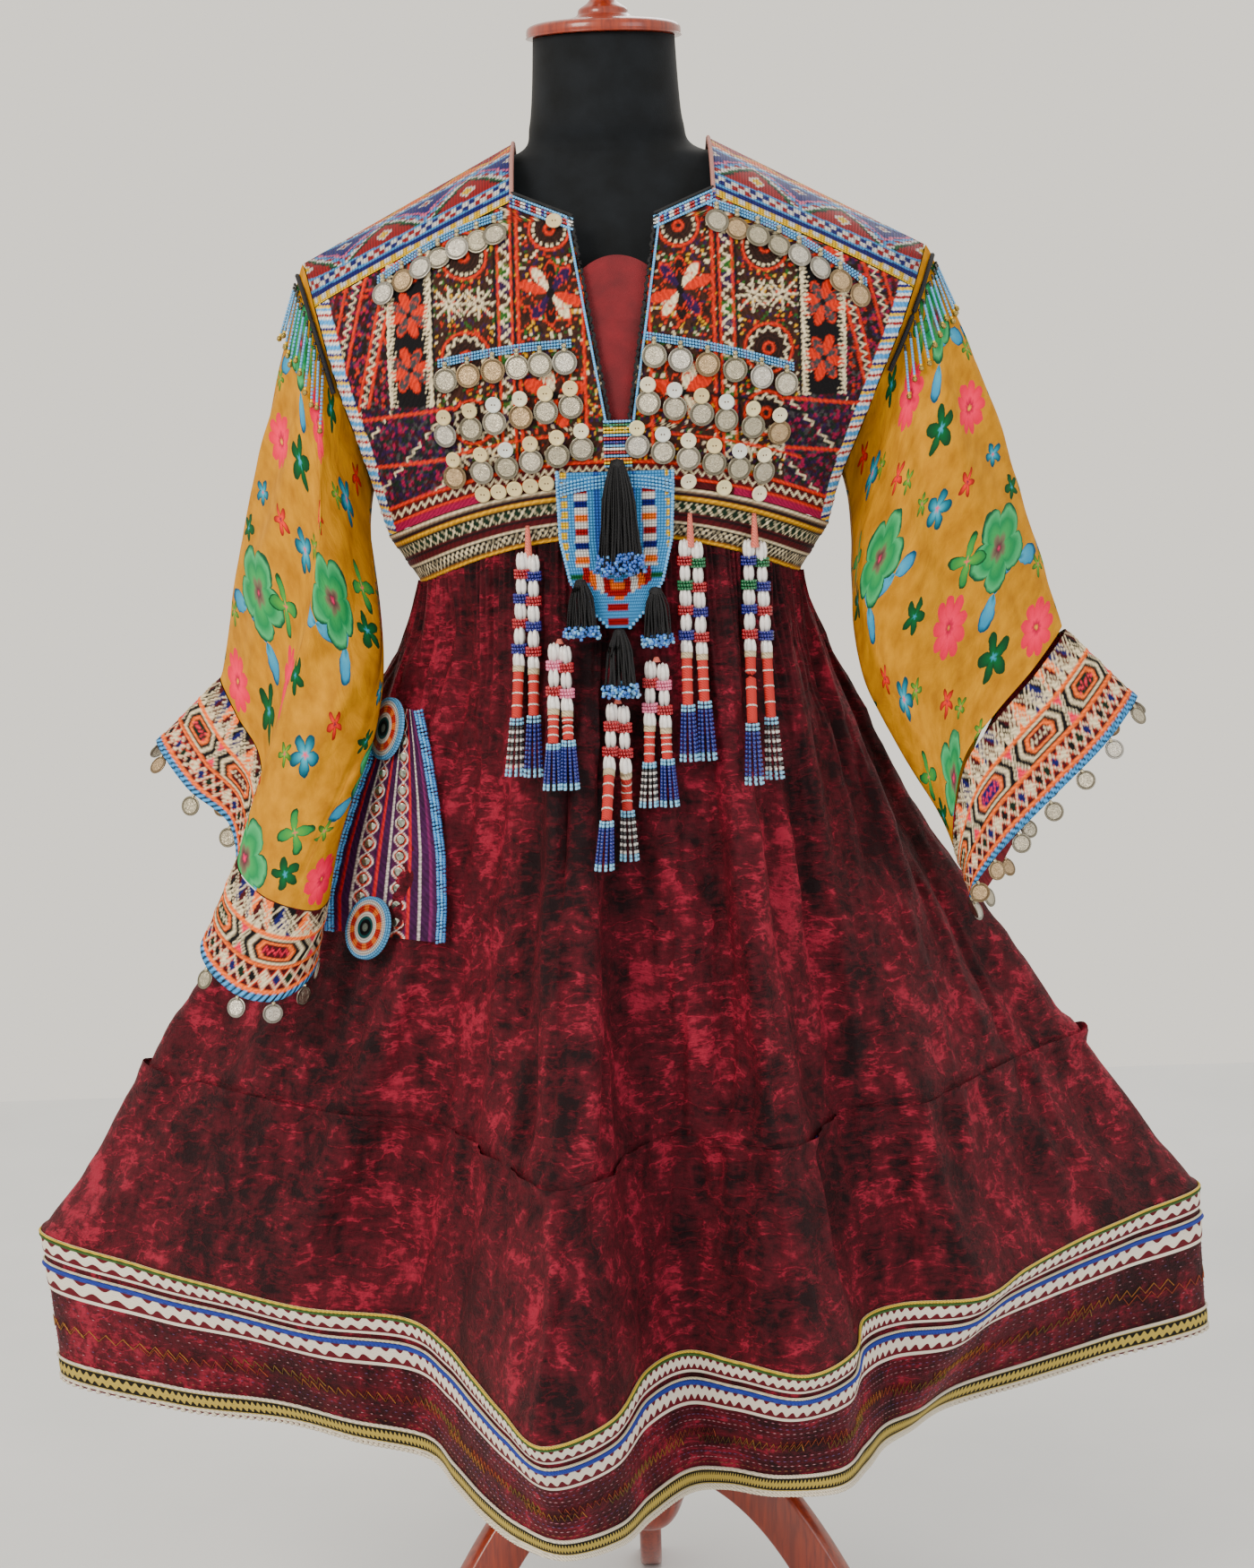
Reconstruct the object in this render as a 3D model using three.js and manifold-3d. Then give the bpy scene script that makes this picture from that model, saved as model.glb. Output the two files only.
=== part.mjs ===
// An embroidered dress worn on a limbless dress form, in millimetres.
// +Z is up, the front faces -Y and the floor is z = 0. Every surface is a function of two
// parameters: how far round or across, and how far along.
import * as THREE from 'three';
import { mergeVertices } from 'three/addons/utils/BufferGeometryUtils.js';
import Module from 'manifold-3d';

const wasm = await Module();
wasm.setup();

// Driving dimensions
const seamGap = 0.5;
const velvetWall = 1.8;
const cottonWall = 1.2;
const beadedWall = 2.6;
const neckHalfWidth = 76;
const neckMiddle = 3;
const neckPointHeight = 1306;
const shoulderSlope = 0.52;
const yokeRow = 5;
const bandHeight = 38;
const tierStart = 0.74;
const gatherCount = 54;
const tierGatherCount = 37;
const foldWaveCount = 20;
const coinRadius = 9.5;
const coinThickness = 1.8;
const buttonRadius = 5.2;
const medallionThickness = 4;
const medallionGap = 1.5;
const axisShift = 9;

const { lerp, degToRad: radians } = THREE.MathUtils;
const vector = (x, y, z) => new THREE.Vector3(x, y, z);

function table(names, rows) {
  return rows.map((row) => Object.fromEntries(names.map((name, column) => [name, row[column]])));
}

// Upper body from the waist seam to the shoulder line. share: part of the way up;
// depths: how far the front and back stand out from the panels' side edges.
const bodyRows = table(
  ['share', 'halfWidth', 'frontDepth', 'backDepth', 'edgeDepth', 'middle'],
  [
    [0.0, 177, 122, 104, 2, -8],
    [0.13, 186, 126, 107, 5, -8],
    [0.3, 199, 112, 92, 22, -5],
    [0.48, 213, 100, 82, 31, -3],
    [0.66, 226, 88, 76, 31, 0],
    [0.82, 236, 70, 68, 24, 2],
    [0.94, 243, 42, 44, 12, 3],
    [1.0, 247, 0, 0, 0, 3],
  ],
);

// Folds round the skirt, evenly spaced along the cloth: the edge of the trims, then the hem.
const foldRows = table(
  ['angle', 'radius', 'height', 'hemRadius', 'hemHeight'],
  [
    [-180, 502, 431, 492, 302],
    [-168, 414, 424, 392, 300],
    [-158, 362, 420, 312, 299],
    [-146, 318, 415, 276, 296],
    [-133, 272, 412, 250, 292],
    [-122, 285, 405, 276, 287],
    [-113, 324, 398, 312, 283],
    [-106, 374, 394, 343, 280],
    [-100, 427, 391, 355, 277],
    [-94, 378, 392, 328, 277],
    [-90, 288, 396, 286, 279],
    [-83, 261, 400, 246, 282],
    [-76, 290, 398, 243, 281],
    [-69, 331, 396, 268, 280],
    [-60, 312, 399, 288, 281],
    [-52, 272, 405, 272, 284],
    [-44, 278, 409, 256, 287],
    [-36, 326, 412, 256, 289],
    [-24, 335, 416, 264, 291],
    [-13, 366, 421, 318, 295],
    [-5, 412, 426, 380, 299],
    [4, 474, 429, 482, 302],
    [16, 420, 428, 400, 300],
    [28, 345, 424, 318, 297],
    [42, 300, 420, 285, 294],
    [54, 350, 418, 322, 292],
    [64, 402, 416, 372, 290],
    [74, 345, 418, 318, 292],
    [84, 300, 420, 282, 294],
    [94, 350, 417, 320, 291],
    [102, 430, 414, 400, 288],
    [111, 372, 416, 345, 290],
    [121, 310, 419, 290, 293],
    [133, 296, 422, 280, 296],
    [145, 330, 424, 305, 298],
    [156, 372, 427, 345, 300],
    [168, 434, 430, 408, 302],
  ],
);

// Round each sleeve from its outer edge over the front to the underarm edge and back:
// the seam where the cuff starts, and the cuff's free edge.
const cuffColumns = ['seamX', 'seamY', 'seamZ', 'edgeX', 'edgeY', 'edgeZ'];
const rightCuffRows = table(cuffColumns, [
  [357, -2, 909, 417, -4, 849],
  [330, -34, 880, 386, -42, 818],
  [296, -48, 845, 345, -58, 782],
  [270, -58, 812, 304, -68, 745],
  [259, -76, 772, 277, -84, 718],
  [259, -66, 741, 273, -74, 699],
  [268, -40, 760, 290, -44, 706],
  [282, 6, 800, 322, 8, 740],
  [310, 36, 848, 356, 40, 786],
  [338, 26, 888, 394, 26, 826],
]);
const leftCuffRows = table(cuffColumns, [
  [-327, -6, 889, -381, -8, 838],
  [-310, -44, 862, -352, -52, 806],
  [-291, -66, 832, -316, -70, 776],
  [-290, -92, 792, -314, -92, 728],
  [-306, -118, 758, -337, -124, 690],
  [-288, -146, 738, -312, -154, 662],
  [-262, -152, 726, -278, -160, 654],
  [-240, -138, 722, -252, -142, 668],
  [-236, -104, 738, -250, -104, 690],
  [-256, -40, 786, -284, -40, 736],
  [-290, 14, 838, -330, 16, 786],
  [-314, 24, 874, -362, 24, 824],
]);

function catmull(a, b, c, d, t) {
  const linear = (c - a) * t;
  const square = (2 * a - 5 * b + 4 * c - d) * t * t;
  const cube = (3 * b - a - 3 * c + d) * t * t * t;
  return 0.5 * (2 * b + linear + square + cube);
}

// The values of a table between its rows, by a curve through them; place runs from 0 to 1.
function between(rows, place, closed = false) {
  const spans = closed ? rows.length : rows.length - 1;
  const turns = closed ? place - Math.floor(place) : Math.min(Math.max(place, 0), 1);
  const first = Math.min(Math.floor(turns * spans), spans - 1);
  const row = (step) => {
    const index = first + step;
    return rows[closed ? (index + rows.length) % rows.length
      : Math.min(Math.max(index, 0), rows.length - 1)];
  };
  const t = turns * spans - first;
  const values = {};
  for (const name of Object.keys(rows[0])) {
    values[name] = catmull(row(-1)[name], row(0)[name], row(1)[name], row(2)[name], t);
  }
  return values;
}

// A solid from closed loops of points, one after the other, with ends capped as strips
// (each loop is then an outer row and the inner row coming back).
function sweptSolid(loops, closedAround) {
  const size = loops[0].length;
  const positions = loops.flat().flatMap((point) => [point.x, point.y, point.z]);
  const index = [];
  const at = (loop, place) => (loop % loops.length) * size + (place % size);
  const spans = closedAround ? loops.length : loops.length - 1;
  for (let loop = 0; loop < spans; loop += 1) {
    for (let place = 0; place < size; place += 1) {
      const corners = [at(loop, place), at(loop + 1, place),
        at(loop + 1, place + 1), at(loop, place + 1)];
      index.push(corners[0], corners[1], corners[2], corners[0], corners[2], corners[3]);
    }
  }
  if (!closedAround) {
    for (let place = 0; place < size / 2 - 1; place += 1) {
      const facing = size - 1 - place;
      const last = loops.length - 1;
      index.push(at(0, place), at(0, place + 1), at(0, facing));
      index.push(at(0, place + 1), at(0, facing - 1), at(0, facing));
      index.push(at(last, place), at(last, facing), at(last, place + 1));
      index.push(at(last, place + 1), at(last, facing), at(last, facing - 1));
    }
  }
  return outward(positions, index);
}

// A solid from rings stacked on each other, closed by a fan over each end ring.
function stackedSolid(rings) {
  const size = rings[0].length;
  const positions = rings.flat().flatMap((point) => [point.x, point.y, point.z]);
  const index = [];
  for (let ring = 0; ring < rings.length - 1; ring += 1) {
    for (let place = 0; place < size; place += 1) {
      const a = ring * size + place;
      const b = ring * size + ((place + 1) % size);
      index.push(a, b, b + size, a, b + size, a + size);
    }
  }
  const top = (rings.length - 1) * size;
  for (let place = 1; place < size - 1; place += 1) {
    index.push(0, place + 1, place);
    index.push(top, top + place, top + place + 1);
  }
  return outward(positions, index);
}

// A thin solid cut to flat cells and laid on a surface: place(a, b, layer) gives the point
// for flat coordinates a and b, on the back (layer 0) or the face (layer 1). An edge that
// only one cell has becomes a side wall.
function cutOutSolid({ spots, cells }, place) {
  const size = spots.length;
  const points = [0, 1].flatMap((layer) => spots.map(([a, b]) => place(a, b, layer)));
  const positions = points.flatMap((point) => [point.x, point.y, point.z]);
  const index = [];
  const edges = new Set();
  for (const cell of cells) {
    const flat = cell.map((spot) => new THREE.Vector2(...spots[spot]));
    for (const corners of THREE.ShapeUtils.triangulateShape(flat, [])) {
      const [a, b, c] = corners.map((corner) => cell[corner]);
      index.push(a, c, b, a + size, b + size, c + size);
    }
    cell.forEach((spot, corner) => edges.add(`${spot} ${cell[(corner + 1) % cell.length]}`));
  }
  for (const edge of edges) {
    const [from, to] = edge.split(' ').map(Number);
    if (!edges.has(`${to} ${from}`)) {
      index.push(from, to, to + size, from, to + size, from + size);
    }
  }
  return outward(positions, index);
}

// Flat cells for things that hang in a row below a strip. Each shape is a list of
// [sideways, down] points from the strip round its lowest point and back to the strip.
function hangingRow({ shape, places, stripHeight, margin }) {
  const spots = [];
  const cells = [];
  const step = places[1] - places[0];
  const last = places.length;
  const bound = range(last + 1, places[0] - step / 2, places[last - 1] + step / 2);
  bound[0] = places[0] - margin;
  bound[last] = places[last - 1] + margin;
  for (const edge of bound) spots.push([edge, stripHeight], [edge, 0]);
  places.forEach((place, item) => {
    const first = spots.length;
    for (const [sideways, down] of shape) spots.push([place + sideways, -down]);
    const tab = shape.map((_, corner) => first + corner);
    const [top, foot] = [2 * item, 2 * item + 1];
    cells.push([top, foot, tab[0], tab[tab.length - 1], foot + 2, top + 2]);
    cells.push(tab);
  });
  return { spots, cells };
}

// The outline of a round piece that hangs by its flat top corner.
function roundTab(radius, sides) {
  const start = Math.PI / 2 + Math.PI / sides;
  const centre = radius * Math.cos(Math.PI / sides);
  return Array.from({ length: sides }, (_, corner) => {
    const angle = start + (2 * Math.PI * corner) / sides;
    return [radius * Math.cos(angle), centre - radius * Math.sin(angle)];
  });
}

function outward(positions, index) {
  let volume = 0;
  const corner = (place) => vector(...positions.slice(index[place] * 3, index[place] * 3 + 3));
  for (let face = 0; face < index.length; face += 3) {
    volume += corner(face).dot(corner(face + 1).cross(corner(face + 2)));
  }
  const turned = volume < 0 ? index.slice().reverse() : index;
  const geometry = new THREE.BufferGeometry();
  geometry.setAttribute('position', new THREE.Float32BufferAttribute(positions, 3));
  geometry.setIndex(turned);
  return geometry;
}

function toManifold(geometry) {
  const bare = geometry.clone();
  bare.deleteAttribute('normal');
  bare.deleteAttribute('uv');
  const merged = mergeVertices(bare, 1e-4);
  return new wasm.Manifold(new wasm.Mesh({
    numProp: 3,
    vertProperties: new Float32Array(merged.attributes.position.array),
    triVerts: new Uint32Array(merged.index.array),
  }));
}

function toGeometry(manifold) {
  const mesh = manifold.getMesh();
  const geometry = new THREE.BufferGeometry();
  geometry.setAttribute('position', new THREE.BufferAttribute(mesh.vertProperties, 3));
  geometry.setIndex(new THREE.BufferAttribute(mesh.triVerts, 1));
  return geometry;
}

function joined(geometries) {
  const solids = geometries.map(toManifold);
  return toGeometry(solids.reduce((whole, solid) => whole.add(solid)));
}

function cutFrom(geometry, cutter) {
  return toGeometry(toManifold(geometry).subtract(toManifold(cutter)));
}

function range(count, from = 0, to = 1) {
  return Array.from({ length: count }, (_, step) => lerp(from, to, step / (count - 1)));
}

function normalOf(surface, a, b) {
  const step = 0.002;
  const along = surface(a + step, b).sub(surface(a - step, b));
  const across = surface(a, Math.min(b + step, 1)).sub(surface(a, Math.max(b - step, 0)));
  return along.cross(across).normalize();
}

// Upper body surface. facing: -1 front, 1 back; across: -1 to 1; up: 0 waist to 1 shoulder.
function waistSeam(facing, across) {
  const centre = facing < 0 ? 1041 : 1010;
  return centre - (centre - 1000) * Math.abs(across) ** 2.2;
}

function archOf(across) {
  return Math.max(1 - Math.abs(across) ** 2.6, 0) ** 0.4545;
}

function bodyPoint(facing, across, up) {
  const row = between(bodyRows, up);
  const x = row.middle + across * row.halfWidth;
  const depth = facing < 0 ? row.frontDepth : row.backDepth;
  const y = facing * (row.edgeDepth + depth * archOf(across));
  const beyond = Math.max(Math.abs(x - neckMiddle) - neckHalfWidth, 0);
  const shoulder = neckPointHeight - shoulderSlope * beyond;
  const base = waistSeam(facing, across);
  return vector(x, y, base + (shoulder - base) * row.share);
}

function bodyNormal(facing, across, up) {
  const inside = Math.min(Math.max(across, -0.995), 0.995);
  const normal = normalOf((a, b) => bodyPoint(facing, a, b), inside, up);
  return facing < 0 ? normal : normal.negate();
}

// A point beside the upper body's surface, out along its normal.
function offBody(facing, across, up, out) {
  return bodyPoint(facing, across, up).addScaledVector(bodyNormal(facing, across, up), out);
}

// The place on the front, as across and up, whose x and height are given.
function frontPlace(x, height) {
  let low = 0;
  let high = 1;
  let across = 0;
  for (let step = 0; step < 30; step += 1) {
    const up = (low + high) / 2;
    const row = between(bodyRows, up);
    across = (x - row.middle) / row.halfWidth;
    if (bodyPoint(-1, across, up).z < height) low = up;
    else high = up;
  }
  return [across, low];
}

function frontPoint(x, height, out) {
  const [across, up] = frontPlace(x, height);
  return offBody(-1, across, up, out);
}

const acrossSteps = (count) => range(count).map((step) => -Math.cos(Math.PI * step));

function bodicePanel(facing, columns, topOf) {
  const loops = columns.map((across) => {
    const ups = range(7, 0, topOf(across));
    const outer = ups.map((up) => bodyPoint(facing, across, up));
    const inner = ups.map((up) => offBody(facing, across, up, -velvetWall));
    for (const point of [outer[0], inner[0]]) point.z = waistSeam(facing, across) + seamGap / 2;
    return [...outer, ...inner.reverse()];
  });
  return sweptSolid(loops, false);
}

// The neck opening's front edge: half widths about its middle, and heights.
const necklineRows = table(['half', 'height'], [[6.2, 1089], [31, 1242], [76.5, 1262]]);

function slitCutter() {
  const right = necklineRows.map(({ half, height }) => [neckMiddle + half, height]);
  const left = necklineRows.map(({ half, height }) => [neckMiddle - half, height]).reverse();
  const [rim, top] = [necklineRows[2].half, 1300];
  const outline = [...left, ...right, [neckMiddle + rim, top], [neckMiddle - rim, top]];
  const shape = new THREE.Shape(outline.map(([x, z]) => new THREE.Vector2(x, z)));
  const cutter = new THREE.ExtrudeGeometry(shape, { depth: 180, bevelEnabled: false });
  return cutter.rotateX(Math.PI / 2).translate(0, -20, 0);
}

const yokeUp = yokeRow / (bodyRows.length - 1);

function bodiceFront() {
  const whole = bodicePanel(-1, acrossSteps(19), () => yokeUp - 0.002);
  return cutFrom(whole, slitCutter());
}

function bodiceBack() {
  const columns = acrossSteps(15);
  const { halfWidth, middle } = between(bodyRows, yokeUp);
  const edges = [-1, 1].flatMap((side) => {
    const place = (side * (neckHalfWidth - 2) + neckMiddle - middle) / halfWidth;
    return [place, place - 0.004 * side];
  });
  const inside = (across) => across > edges[0] + 0.001 && across < edges[2] - 0.001;
  const topOf = (across) => {
    if (!inside(across)) return yokeUp - 0.002;
    return 0.83 - 0.03 * (1 - (across / edges[2]) ** 2);
  };
  const sorted = [...columns, ...edges].sort((a, b) => a - b);
  return bodicePanel(1, sorted, topOf);
}

// A shoulder piece from the front yoke seam over the shoulder to the back one.
function shoulderPanel(side) {
  const path = [
    ...range(5, yokeUp + 0.002, 1).map((up) => [-1, up]),
    ...range(5, 1, yokeUp + 0.002).slice(1).map((up) => [1, up]),
  ];
  const loops = range(7).map((place) => {
    const outer = [];
    const inner = [];
    for (const [facing, up] of path) {
      const row = between(bodyRows, up);
      const neckEdge = (neckHalfWidth + 1.2 + side * (neckMiddle - row.middle)) / row.halfWidth;
      const across = side * lerp(neckEdge, 1, place);
      const outerPoint = bodyPoint(facing, across, up);
      outer.push(outerPoint);
      const ridge = up > 0.999;
      const normal = ridge
        ? vector(side * 0.461, 0, 0.887)
        : bodyNormal(facing, across, up);
      inner.push(outerPoint.clone().addScaledVector(normal, -beadedWall));
    }
    return [...outer, ...inner.reverse()];
  });
  return sweptSolid(loops, false);
}

// The waist seams in polar form. angle in degrees, -90 front; down: 0 upper seam, 1 lower.
function waistPoint(angle, down) {
  const across = Math.cos(radians(angle));
  const front = Math.sin(radians(angle)) < 0;
  const blend = Math.abs(Math.sin(radians(angle)));
  const upper = waistSeam(front ? -1 : 1, across);
  const row = bodyRows[0];
  const halfWidth = lerp(row.halfWidth, 152, down);
  const depth = (front ? row.frontDepth : row.backDepth) + row.edgeDepth * blend;
  const y = (front ? -1 : 1) * (depth * archOf(across)) * lerp(1, 0.97, down);
  return vector(row.middle + across * halfWidth, y, upper - bandHeight * down - 2 * blend * down);
}

function waistNormal(angle) {
  const tangent = waistPoint(angle + 1, 0.5).sub(waistPoint(angle - 1, 0.5));
  return vector(tangent.y, -tangent.x, 0).normalize();
}

function waistband() {
  const count = 44;
  const loops = range(count + 1, -180, 180).slice(0, count).map((angle) => {
    const normal = waistNormal(angle);
    const top = waistPoint(angle, 0);
    top.z -= seamGap / 2;
    const bottom = waistPoint(angle, 1);
    return [top, bottom,
      bottom.clone().addScaledVector(normal, -velvetWall),
      top.clone().addScaledVector(normal, -velvetWall)];
  });
  return sweptSolid(loops, true);
}

// Skirt surface. turn: 0 to 1 round the cloth from the left side over the front;
// fall: 0 waist to 1 at the edge of the trims.
function foldPoint(turn, lower) {
  const spots = foldRows.map((row) => {
    const angle = radians(row.angle);
    const radius = lerp(row.radius, row.hemRadius, lower);
    return {
      x: radius * Math.cos(angle),
      y: radius * Math.sin(angle),
      z: lerp(row.height, row.hemHeight, lower),
    };
  });
  const spot = between(spots, turn, true);
  return vector(spot.x, spot.y, spot.z);
}

function waistAngle(turn) {
  const whole = Math.floor(turn);
  const place = (turn - whole) * foldRows.length;
  const first = Math.floor(place);
  const angleAt = (row) => (row < foldRows.length ? foldRows[row].angle : 180);
  const own = lerp(angleAt(first), angleAt(first + 1), place - first);
  return lerp(own, -180 + 360 * (turn - whole), 0.5) + 360 * whole;
}

function skirtBase(turn, fall) {
  const top = waistPoint(waistAngle(turn), 1);
  const low = foldPoint(turn, 0);
  const spread = fall ** 1.15;
  return vector(
    lerp(top.x, low.x, spread),
    lerp(top.y, low.y, spread),
    lerp(top.z - seamGap, low.z, fall),
  );
}

function skirtNormal(turn, fall) {
  return normalOf(skirtBase, turn, fall).negate();
}

// Out from the base: fine gathers that fade below the waist, and soft folds lower down.
function skirtWave(turn, fall) {
  const gathers = 2.4 * Math.exp(-fall / 0.1) * Math.cos(2 * Math.PI * gatherCount * turn);
  const folds = 6 * Math.sin(Math.PI * Math.min(fall / 0.9, 1)) ** 1.2
    * Math.cos(2 * Math.PI * foldWaveCount * turn + 1.7 * Math.sin(2 * Math.PI * 5 * turn));
  return gathers + folds;
}

function tierWave(turn, fall) {
  const fade = Math.exp(-(fall - tierStart) / 0.06);
  return 2.6 * fade * Math.cos(2 * Math.PI * tierGatherCount * turn);
}

function offSkirt(turn, fall, out) {
  return skirtBase(turn, fall).addScaledVector(skirtNormal(turn, fall), out);
}

function bandNormal(turn) {
  const around = foldPoint(turn + 0.002, 0.5).sub(foldPoint(turn - 0.002, 0.5));
  const down = foldPoint(turn, 1).sub(foldPoint(turn, 0));
  return down.cross(around).normalize();
}

function offBand(turn, down, out) {
  return foldPoint(turn, down).addScaledVector(bandNormal(turn), out);
}

const turnsRound = (count) => Array.from({ length: count }, (_, step) => step / count);

function skirtUpper() {
  const loops = upperColumns.map((outer, column) => {
    const turn = column / upperColumns.length;
    const inner = upperFalls.map((fall) => (
      offSkirt(turn, fall, skirtWave(turn, fall) - velvetWall)));
    return [...outer, ...inner.reverse()];
  });
  return sweptSolid(loops, true);
}

const trimBreaks = [0.185, 0.42, 0.85, 1];
const tierTurns = turnsRound(tierGatherCount * 2);

function skirtTier() {
  const falls = [tierStart + 0.003, 0.86];
  const loops = tierTurns.map((turn) => {
    const wave = (fall) => skirtWave(turn, fall) + tierWave(turn, fall);
    const row = (out) => [
      ...falls.map((fall) => offSkirt(turn, fall, wave(fall) + out)),
      offBand(turn, 0, out),
      ...trimBreaks.map((down) => offBand(turn, down, out)),
    ];
    return [...row(0), ...row(-velvetWall).reverse()];
  });
  return sweptSolid(loops, true);
}

// A ribbon sewn flat round the skirt's stiff hem band.
function trimBand(from, to, thickness) {
  const loops = tierTurns.map((turn) => [
    offBand(turn, from, 0.4), offBand(turn, to, 0.4),
    offBand(turn, to, thickness), offBand(turn, from, thickness),
  ]);
  return sweptSolid(loops, true);
}

// Sleeve surface. turn: 0 outer edge, a quarter at the front, a half at the underarm.
function armholePoint(side, turn) {
  const facing = turn < 0.5 ? -1 : 1;
  const climb = turn < 0.5 ? 1 - 2 * turn : 2 * turn - 1;
  const up = lerp(0.16, 1, climb);
  const point = bodyPoint(facing, side, up);
  point.x += side * 1.2;
  return point;
}

function sleevePoint(side, rows, turn, along) {
  const wrapped = turn - Math.floor(turn);
  const start = armholePoint(side, wrapped);
  const seam = between(rows, wrapped, true);
  const end = vector(seam.seamX, seam.seamY, seam.seamZ);
  const point = start.lerp(end, along);
  const swell = Math.max(Math.sin(Math.PI * along), 0) ** 1.8;
  const inner = (1 - Math.cos(2 * Math.PI * wrapped)) / 2;
  const front = Math.sin(2 * Math.PI * wrapped);
  point.x -= side * swell * (34 * inner - 4 * (1 - inner));
  point.y -= swell * (14 * inner + 26 * front);
  const fold = 5 * swell * Math.cos(2 * Math.PI * 6 * wrapped + 2.2 * along);
  point.y -= fold * Math.sign(front) * Math.abs(front) ** 0.5;
  point.x += fold * 0.4 * side;
  return point;
}

function sleeveNormal(side, rows, turn, along) {
  const surface = (a, b) => sleevePoint(side, rows, a, b);
  const normal = normalOf(surface, turn, Math.min(Math.max(along, 0.01), 0.99));
  return side > 0 ? normal : normal.negate();
}

function offSleeve(side, rows, turn, along, out) {
  return sleevePoint(side, rows, turn, along)
    .addScaledVector(sleeveNormal(side, rows, turn, along), out);
}

const sleeveTurns = turnsRound(28);

function sleeve(side, rows) {
  const alongs = [0, 0.15, 0.4, 0.7, 1];
  const loops = sleeveTurns.map((turn) => {
    const outer = alongs.map((along) => offSleeve(side, rows, turn, along, 0));
    const inner = alongs.map((along) => offSleeve(side, rows, turn, along, -cottonWall));
    return [...outer, ...inner.reverse()];
  });
  return sweptSolid(loops, true);
}

function cuffPoint(rows, turn, down) {
  const row = between(rows, turn, true);
  return vector(
    lerp(row.seamX, row.edgeX, down),
    lerp(row.seamY, row.edgeY, down),
    lerp(row.seamZ, row.edgeZ, down),
  );
}

function offCuff(side, rows, turn, down, out) {
  const normal = normalOf((a, b) => cuffPoint(rows, a, b), turn, Math.min(down, 1));
  return cuffPoint(rows, turn, down).addScaledVector(side > 0 ? normal : normal.negate(), out);
}

function cuff(side, rows, start) {
  const loops = sleeveTurns.map((turn) => [
    offCuff(side, rows, turn, start, 0), offCuff(side, rows, turn, 1, 0),
    offCuff(side, rows, turn, 1, -velvetWall), offCuff(side, rows, turn, start, -velvetWall),
  ]);
  return sweptSolid(loops, true);
}

// A disc with its own facing direction.
function disc(centre, facing, radius, thickness, sides) {
  const turn = new THREE.Quaternion().setFromUnitVectors(vector(0, 1, 0), facing);
  return new THREE.CylinderGeometry(radius, radius, thickness, sides)
    .applyQuaternion(turn).translate(centre.x, centre.y, centre.z);
}

// A straight rod between two points.
function rod(from, to, radius, sides) {
  const along = to.clone().sub(from);
  const middle = from.clone().lerp(to, 0.5);
  return disc(middle, along.clone().normalize(), radius, along.length(), sides);
}

// A rod of changing radius through points; each row gives a point and a radius.
function beadedCord(points, radii, sides) {
  const rings = points.map((point, place) => {
    const radius = radii[place % radii.length];
    return range(sides + 1).slice(0, sides).map((turn) => vector(
      point.x + radius * Math.cos(2 * Math.PI * turn),
      point.y + radius * Math.sin(2 * Math.PI * turn),
      point.z,
    ));
  });
  return stackedSolid(rings);
}

// Coins hung below a beaded strip on the front, some with a shirt button above each coin.
// Their places step evenly along a bowed line through the coins' centres.
const coinSides = 6;
const buttonSides = 6;

function coinShape(button, radius) {
  const coin = roundTab(radius, coinSides);
  if (!button) return coin;
  const disc = roundTab(buttonRadius, buttonSides);
  const drop = 2 * buttonRadius * Math.cos(Math.PI / buttonSides) - 0.6;
  const low = coin.map(([sideways, down]) => [sideways, down + drop]);
  return [...disc.slice(0, 2), ...low, ...disc.slice(4)];
}

// A plane that rests on the cloth under a row: the front's own slope at the row's middle,
// moved out until no facet of the cloth is in front of it. A facet lies up to restInset
// behind the cloth's smooth surface.
const restInset = 1.3;

function restingPlane(from, to) {
  const middle = [(from[0] + to[0]) / 2, (from[1] + to[1]) / 2];
  const point = frontPoint(...middle, 0);
  const normal = frontPoint(...middle, 1).sub(point).normalize();
  let rise = 0;
  for (const step of range(13)) {
    const [x, height] = [lerp(from[0], to[0], step), lerp(from[1], to[1], step)];
    for (const beside of range(7, -16, 22)) {
      rise = Math.max(rise, frontPoint(x, height + beside, 0).sub(point).dot(normal));
    }
  }
  return (x, height, out) => {
    const forward = (normal.x * (x - point.x) + normal.z * (height - point.z)) / normal.y;
    return vector(x, point.y - forward, height).addScaledVector(normal, rise - restInset + out);
  };
}

function coinRow({ count, from, to, bow, button, flat }) {
  const length = Math.hypot(to[0] - from[0], to[1] - from[1]);
  const places = range(count, 0, length);
  const radius = Math.min(coinRadius, places[1] / 2 - 0.4);
  const shape = coinShape(button, radius);
  const lowest = Math.max(...shape.map((spot) => spot[1]));
  const coinDown = lowest - radius;
  const row = hangingRow({ shape, places, stripHeight: 2.5, margin: 5 });
  const surface = flat ? restingPlane(from, to) : frontPoint;
  return cutOutSolid(row, (a, b, layer) => {
    const step = a / length;
    const x = lerp(from[0], to[0], step);
    const middle = lerp(from[1], to[1], step) + bow * Math.sin(Math.PI * step);
    const rise = surface(x, middle + 2, 0).sub(surface(x, middle - 2, 0)).normalize().z;
    return surface(x, middle + (b + coinDown) * rise, layer ? 0.8 + coinThickness : 0.8);
  });
}

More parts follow.
